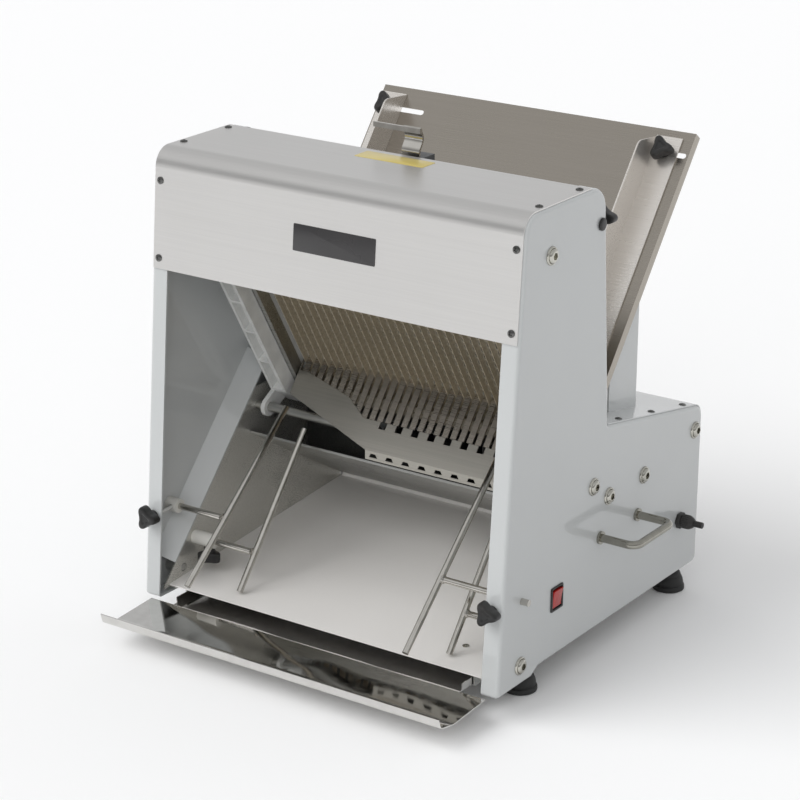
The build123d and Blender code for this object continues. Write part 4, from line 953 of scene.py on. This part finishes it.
@dataclass
class BladeSets:
    """Toothed blades of the two counter-moving frames."""

    body: Body
    count: int = 32
    pitch: float = 12.0
    sheet: float = 0.8
    keen: float = 0.06
    wide: float = 12.0
    low: float = -56.0
    high: float = 298.0
    first_tooth: float = -4.0
    teeth: int = 16
    tooth: float = 12.0
    deep: float = 2.0
    ground: float = 3.2

    def edge(self, along: float) -> float:
        """Set-back of the cutting edge: round gullets between sharp tips."""
        s = (along - self.first_tooth) / self.tooth
        if s <= 0 or s >= self.teeth:
            return 0.0
        return self.deep * (1.0 - (2.0 * (s % 1.0) - 1.0) ** 2)

    def blade(self) -> Object:
        """Master of one blade, its edge ground from both sides and marked for a painted highlight tone."""
        turn = -math.radians(Lean.BLADES.value)
        cy, cz = self.body.cross
        last_tooth = self.first_tooth + self.teeth * self.tooth
        steps = 8
        stops = [self.first_tooth + self.tooth * i / steps for i in range(self.teeth * steps + 1)]
        stops = [self.low, *stops, self.high]
        shape = bmesh.new()
        # Vertex mark that tells the finish where to lay its painted highlight on the ground edge.
        highlight_mark = shape.verts.layers.float.new("ground")
        half, back = self.sheet / 2, self.wide / 2
        rings = []
        for along in stops:
            edge = self.edge(along) - self.wide / 2
            keen = self.keen if self.first_tooth <= along <= last_tooth else half
            section = [(half, back), (half, edge + self.ground), (keen, edge),
                       (-keen, edge), (-half, edge + self.ground), (-half, back)]
            ring = []
            for x, ahead in section:
                y = cy - along * math.cos(turn) - ahead * math.sin(turn)
                z = cz + along * math.sin(turn) - ahead * math.cos(turn)
                ring.append(Vector((x * MM, y * MM, z * MM)))
            rings.append(ring)
        add_rings(shape, rings, Matrix.Identity(4))
        corners = len(section)
        # The two keen corners of every toothed ring get the painted highlight mark.
        for i, vert in enumerate(shape.verts):
            toothed = corners <= i < corners * (len(stops) - 1)
            vert[highlight_mark] = 1.0 if toothed and i % corners in (2, 3) else 0.0
        return piece_from("blade_master", shape, BLADE_STEEL, 20.0)

    def build(self) -> None:
        """Repeat the blade across both frames."""
        master = self.blade()
        first = -(self.count - 1) / 2 * self.pitch
        for start, word in ((first, "front"), (first + self.pitch, "rear")):
            name = word + "_toothed_blades"
            blades = grow(in_scene(name, bpy.data.meshes.new(name)), ROW, {
                "Piece": master, "Count": self.count // 2, "First": start * MM, "Pitch": 2 * self.pitch * MM,
                "Finish": BLADE_STEEL.material(),
            })
            settle(blades, word + "_blade_frame", BLADE_STEEL, word + "_blades")
        bpy.data.objects.remove(master)


@dataclass
class PressRodCaps:
    """Moulded caps on both ends of the press rod."""

    body: Body
    end: float = 261.5
    radius: float = 7.6

    def build(self) -> None:
        """Turn both caps in one piece that moves with the press."""
        shape = bmesh.new()
        profile = [(self.radius - back, z) for back, z in (
            (1.2, -1.1), (0.3, -1.1), (0.0, -0.8), (0.0, 0.5), (0.4, 1.2), (1.4, 1.75), (3.2, 2.1), (5.6, 2.25),
        )]
        for side in (-1.0, 1.0):
            add_lathe(shape, profile, side_seat(side, (side * self.end, *self.body.press_rod)))
        add_piece("press_rod_caps", shape, BLACK_PLASTIC, 45.0, "press")


@dataclass
class OutletHem:
    """Upturned hem along the rear edge of the outlet plate."""

    half: float = 232.0
    front: float = 188.1
    back: float = 189.7
    low: float = 71.6
    top: float = 77.2
    ease: float = 0.5

    def build(self) -> None:
        """Fold the hem along X."""
        front, back, top, e = self.front, self.back, self.top, self.ease
        section = [
            (front, self.low), (back, self.low), (back, top - e), (back - 0.3 * e, top - 0.3 * e),
            (back - e, top), (front + e, top), (front + 0.3 * e, top - 0.3 * e), (front, top - e),
        ]
        shape = bmesh.new()
        rings = [[Vector((x * MM, y * MM, z * MM)) for y, z in section] for x in (-self.half, 0.0, self.half)]
        add_rings(shape, rings, Matrix.Identity(4))
        add_piece("outlet_rear_hem", shape, CREAM_PAINT, 40.0, "machine")


@dataclass
class RodWelds:
    """Weld beads where each sloping outlet bar meets its cross rod."""

    body: Body
    radius: float = 4.0
    bead: float = 1.7
    ripple: float = 0.12
    ripples: int = 11

    def build(self) -> None:
        """Lay one bead for each rod."""
        bead = self.bead
        for word, side, x, rod in (
            ("front_left", -1.0, -169.0, self.body.front_rod),
            ("front_right", 1.0, 149.0, self.body.front_rod),
            ("rear_left", -1.0, -141.0, self.body.rear_rod),
            ("rear_right", 1.0, 168.0, self.body.rear_rod),
        ):
            shape = bmesh.new()
            rings = []
            for reach, z in ((0.2, 2.6), (bead, 3.2), (bead * 0.9, 4.2), (bead * 0.5, 5.2), (0.05, 6.2)):
                rings.append(ring_of(
                    lambda turn: self.radius + reach * (1.0 + self.ripple * math.sin(self.ripples * turn)), z, 48
                ))
            add_rings(shape, rings, side_seat(side, (x, *rod)))
            add_piece(word + "_weld", shape, OUTLET_ROD, 50.0, "outlet_" + word)


@dataclass
class CableGland:
    """Gland with a hexagon foot, a ribbed domed nut and the short end of the lead."""

    body: Body
    y: float = 225.7
    z: float = 112.0
    corner: float = 11.0
    foot: float = 6.0
    nut: float = 9.0
    ribs: int = 18
    out: float = 22.0
    lead: float = 4.0
    lead_out: float = 12.0
    inside: float = 6.7
    inward: float = 12.0

    def build(self) -> None:
        """Mould the foot, the ribbed nut and the end of the lead."""
        place = side_seat(1.0, (self.body.half, self.y, self.z))
        shape = bmesh.new()
        r, end = self.inside, -self.inward
        add_lathe(shape, [(r - 0.6, end), (r, end + 0.6), (r, 0.3)], place)
        steps, foot = 72, self.foot
        rings = []
        for share, z in ((0.98, 0.0), (1.0, 0.3), (1.0, foot - 1.0), (0.93, foot - 0.2), (0.86, foot)):
            flats = hexagon(self.corner * share)
            rings.append(ring_of(lambda turn: min(flats(turn), self.corner * 0.97), z, steps))
        add_rings(shape, rings, place)
        rings = []
        r, top = self.nut, self.out
        for reach, z, rib in (
            (r - 0.8, foot - 0.1, 0.0), (r - 0.3, foot + 0.6, 0.0), (r, foot + 1.2, 0.55), (r, top - 7.0, 0.55),
            (r - 0.5, top - 5.4, 0.4), (r - 1.3, top - 3.6, 0.2), (r - 2.4, top - 1.8, 0.0), (r - 3.4, top - 0.7, 0.0),
            (self.lead + 1.0, top - 0.1, 0.0), (self.lead + 0.4, top, 0.0),
        ):
            rings.append(ring_of(
                lambda turn: reach - rib * (0.5 + 0.5 * math.cos(self.ribs * turn)), z, steps * 2
            ))
        add_rings(shape, rings, place)
        r, end = self.lead, top + self.lead_out
        lead = [(r, top - 4.0), (r, end - 0.6), (r - 0.2, end - 0.2), (r - 0.7, end), (1.6, end), (1.4, end - 0.5)]
        add_lathe(shape, lead, place, 32)
        add_piece("ribbed_gland", shape, BLACK_PLASTIC, 40.0, "machine", "cable_gland")


@dataclass
class PowerSwitch:
    """Rocker switch in a moulded bezel on the right panel."""

    body: Body
    y: float = -69.0
    z: float = 113.8
    wide: float = 26.0
    high: float = 30.5
    rim: float = 2.5
    proud: float = 2.0
    deep: float = 16.0
    face: float = 1.0
    tilt: float = 3.2
    pin: float = 1.5
    pin_deep: float = 1.5

    def bezel(self, place: Matrix) -> None:
        """Mould the bezel with its tub behind the panel."""
        w, h, out = self.wide, self.high, self.proud
        iw, ih = w - 2 * self.rim, h - 2 * self.rim
        shape = bmesh.new()
        add_rings(shape, [plate_ring(*row) for row in (
            (iw + 0.6, ih + 0.6, 0.8, -self.deep - 2.0), (iw + 0.6, ih + 0.6, 0.8, 0.0), (w, h, 1.6, 0.0),
            (w, h, 1.6, out - 0.9), (w - 0.4, h - 0.4, 1.5, out - 0.35), (w - 1.4, h - 1.4, 1.2, out),
            (iw + 1.2, ih + 1.2, 0.9, out), (iw + 0.2, ih + 0.2, 0.7, out - 0.5), (iw - 0.4, ih, 0.6, out - 1.4),
            (iw - 0.4, ih, 0.6, -self.deep),
        )], place)
        add_piece("switch_bezel", shape, BLACK_PLASTIC, 50.0, "machine", "switch_frame")

    def rocker(self, place: Matrix) -> None:
        """Mould the rocker with a hollowed face, eased edges and its two pins."""
        half = (self.high - 2 * self.rim) / 2 - 1.5
        side_x = (self.wide - 2 * self.rim - 1.2) / 2
        shape = bmesh.new()
        steps = 14
        outline = [
            (half * (2 * share - 1), self.face + self.tilt * share - self.tilt * share * (1.0 - share))
            for share in (i / steps for i in range(steps))
        ]
        outline += [(half, self.face + self.tilt), (half - 2.0, -5.0), (0.0, -11.0), (2.0 - half, -5.0)]
        rings = [[Vector((x * MM, up * MM, out * MM)) for up, out in outline] for x in (-side_x, side_x)]
        add_rings(shape, rings, place)
        bmesh.ops.recalc_face_normals(shape, faces=shape.faces)
        keen = [e for e in shape.edges if e.calc_face_angle(0.0) > math.radians(40.0)]
        bmesh.ops.bevel(shape, geom=keen, offset=0.6 * MM, segments=3, profile=0.5, affect="EDGES")
        r = self.pin
        for side in (-1.0, 1.0):
            pin = place @ side_seat(side, (side * side_x, 0.0, -self.pin_deep))
            add_lathe(shape, [(r, -1.0), (r, 0.6), (r - 0.2, 0.8)], pin, 24)
        add_piece("switch_rocker_moulding", shape, RED_PLASTIC, 30.0, "rocker", "switch_rocker")

    def build(self) -> None:
        """Set the bezel on the panel and the rocker on its pins."""
        place = side_seat(1.0, (self.body.half, self.y, self.z))
        self.bezel(place)
        self.rocker(place)


def knobs(body: Body) -> list[StarKnob]:
    """All the star knobs of the machine.

    Args:
        body: Outline that they stand on.

    Returns:
        The knobs, ready to build.
    """
    lean = math.radians(Lean.CHUTE.value)
    c, s = math.cos(lean), math.sin(lean)
    along, above = 352.0, 2.3
    chute = (body.cross[0] + along * c - above * s, body.cross[1] + along * s + above * c)
    rim = (body.rim_in + body.inside) / 2
    press_y, press_z = body.press_rod
    clamp_y = body.front_y + body.tall_back + 2.5
    clamp_y -= (press_z - body.low_top) * math.tan(math.radians(body.rear_lean))
    rod_y, rod_z = body.front_rod
    front_y = body.front(rod_z) - 1.6
    backward, forward, downward = ALONG_Y, (0.0, -1.0, 0.0), (0.0, 0.0, -1.0)
    made = [
        StarKnob("infeed_knob_left", "left_guide_knob", (-210.0, *chute), (0.0, -s, c), 8.0, 4.6),
        StarKnob("infeed_knob_right", "right_guide_knob", (199.0, *chute), (0.0, -s, c), 8.0, 4.6),
        StarKnob("press_knob", "press_slider_knob", (5.0, 24.0, 567.0), backward, 23.2),
        StarKnob("press_rod_knob", "press_clamp_knob", (rim, clamp_y, press_z), backward, clamp_y - press_y - 6.3),
    ]
    for side, word in ((-1, "left"), (1, "right")):
        foot = (side * rim, front_y, rod_z)
        made.append(StarKnob(f"front_{word}_knob", f"outlet_front_{word}_knob", foot, forward, rod_y - 4.3 - front_y))
        foot = (side * 213.0, body.rear_rod[0], 80.7)
        made.append(StarKnob(f"rear_{word}_knob", f"outlet_rear_{word}_knob", foot, downward, 5.0))
    return made


@dataclass
class Studio:
    """Floor, light and the camera, in metres."""

    eye: Point = (1.6816, -2.4671, 1.3599)
    azimuth: float = 34.43
    elevation: float = 19.82
    roll: float = 0.29
    lens: float = 117.4
    floor_seen: float = 0.965
    floor_bounce: float = 0.55
    floor_below: float = 0.0004
    sky: float = 0.86
    sky_tint: Colour = (0.985, 0.99, 1.0)
    sky_front: tuple[Pair, ...] = ((0.0, 1.0), (0.07, 0.62), (0.2, 0.32), (0.42, 0.5), (0.62, 0.9), (1.0, 0.68))
    sky_back: tuple[Pair, ...] = ((0.0, 1.0), (0.3, 0.8), (0.6, 0.66), (1.0, 0.68))
    sun: float = 1.6
    fill: float = 0.68
    sun_angle: float = 50.0

    def floor(self) -> None:
        """Lay the pale floor, which looks white and throws back a plain amount of light."""
        shape = bmesh.new()
        rings = [ring_of(r, 0.0, 64) for r in (20.0, 1000.0, 4000.0, 30000.0)]
        add_rings(shape, rings, Matrix.Translation((0.0, 0.0, -self.floor_below)), False)
        mesh = bpy.data.meshes.new("pale_floor")
        shape.to_mesh(mesh)
        shape.free()
        made = bpy.data.materials.new("pale_floor")
        made.use_nodes = True
        tree = made.node_tree
        tree.nodes.remove(tree.nodes["Principled BSDF"])
        path = add_node(tree, "ShaderNodeLightPath", {})
        mirrored = reckon(tree, "MAXIMUM", path.outputs["Is Glossy Ray"], path.outputs["Is Transmission Ray"])
        direct = reckon(tree, "MAXIMUM", path.outputs["Is Camera Ray"], mirrored)
        bounce, seen = (
            add_node(tree, "ShaderNodeBsdfDiffuse", {"Color": (tone, tone, tone, 1.0)}).outputs["BSDF"]
            for tone in (self.floor_bounce, self.floor_seen)
        )
        mix = add_node(tree, "ShaderNodeMixShader", {"Fac": direct, 1: bounce, 2: seen})
        fill(tree, tree.nodes["Material Output"], {"Surface": mix.outputs["Shader"]})
        mesh.materials.append(made)
        in_scene("pale_floor", mesh)

    def surround(self) -> None:
        """Hang the pale surround: white at the horizon, dimmer low in front, brighter behind and overhead."""
        world = bpy.data.worlds.new("studio")
        world.use_nodes = True
        tree = world.node_tree
        place = add_node(tree, "ShaderNodeTexCoord", {})
        split = add_node(tree, "ShaderNodeSeparateXYZ", {"Vector": place.outputs["Generated"]})
        halves = []
        for stops in (self.sky_front, self.sky_back):
            ramp = add_node(tree, "ShaderNodeValToRGB", {"Fac": split.outputs["Z"]})
            while len(ramp.color_ramp.elements) < len(stops):
                ramp.color_ramp.elements.new(0.5)
            for element, (height, value) in zip(ramp.color_ramp.elements, stops):
                element.position = height
                element.color = (*(value * tint for tint in self.sky_tint), 1.0)
            halves.append(ramp.outputs["Color"])
        aft = spread(tree, split.outputs["Y"], -0.4, 0.5)
        fill(tree, tree.nodes["Background"], {"Color": mix_colours(tree, aft, *halves), "Strength": self.sky})
        bpy.context.scene.world = world

    def light(self) -> None:
        """Set one broad soft sun from the front left and a weaker one from the front right."""
        for name, energy, towards in (
            ("broad_sun", self.sun, (-0.50, -0.56, 0.66)),
            ("fill_sun", self.fill, (0.34, -0.86, 0.38)),
        ):
            lamp = bpy.data.lights.new(name, "SUN")
            lamp.energy = energy
            lamp.angle = math.radians(self.sun_angle)
            hung = in_scene(name, lamp)
            hung.matrix_world = seat((0.0, 0.0, 3000.0), towards)
            hung.visible_glossy = False

    def camera(self) -> None:
        """Stand the camera at the viewing angle."""
        a, e, r = (math.radians(v) for v in (self.azimuth, self.elevation, self.roll))
        back = Vector((math.sin(a) * math.cos(e), -math.cos(a) * math.cos(e), math.sin(e)))
        right = Vector((math.cos(a), math.sin(a), 0.0))
        up = back.cross(right)
        across = right * math.cos(r) + up * math.sin(r)
        above = up * math.cos(r) - right * math.sin(r)
        data = bpy.data.cameras.new("view")
        data.lens = self.lens
        data.sensor_width = 36.0
        data.clip_end = 60.0
        made = in_scene("view", data)
        turn = Matrix((across, above, back)).transposed().to_4x4()
        made.matrix_world = Matrix.Translation(self.eye) @ turn
        bpy.context.scene.camera = made
        bpy.context.scene.view_settings.view_transform = "Standard"


def main() -> None:
    """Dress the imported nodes, build the detailed pieces, then the studio."""
    logging.basicConfig(level=logging.INFO, format="%(message)s")
    body = Body()
    body.dress(frame["nodes"])
    for group in (
        CoverFittings(body), PanelBolts(body), *knobs(body), Feet(), BladeSets(body), PressRodCaps(body), OutletHem(),
        RodWelds(body), CableGland(body), PowerSwitch(body),
    ):
        group.build()
    studio = Studio()
    studio.floor()
    studio.surround()
    studio.light()
    studio.camera()


if __name__ == "__main__":
    main()
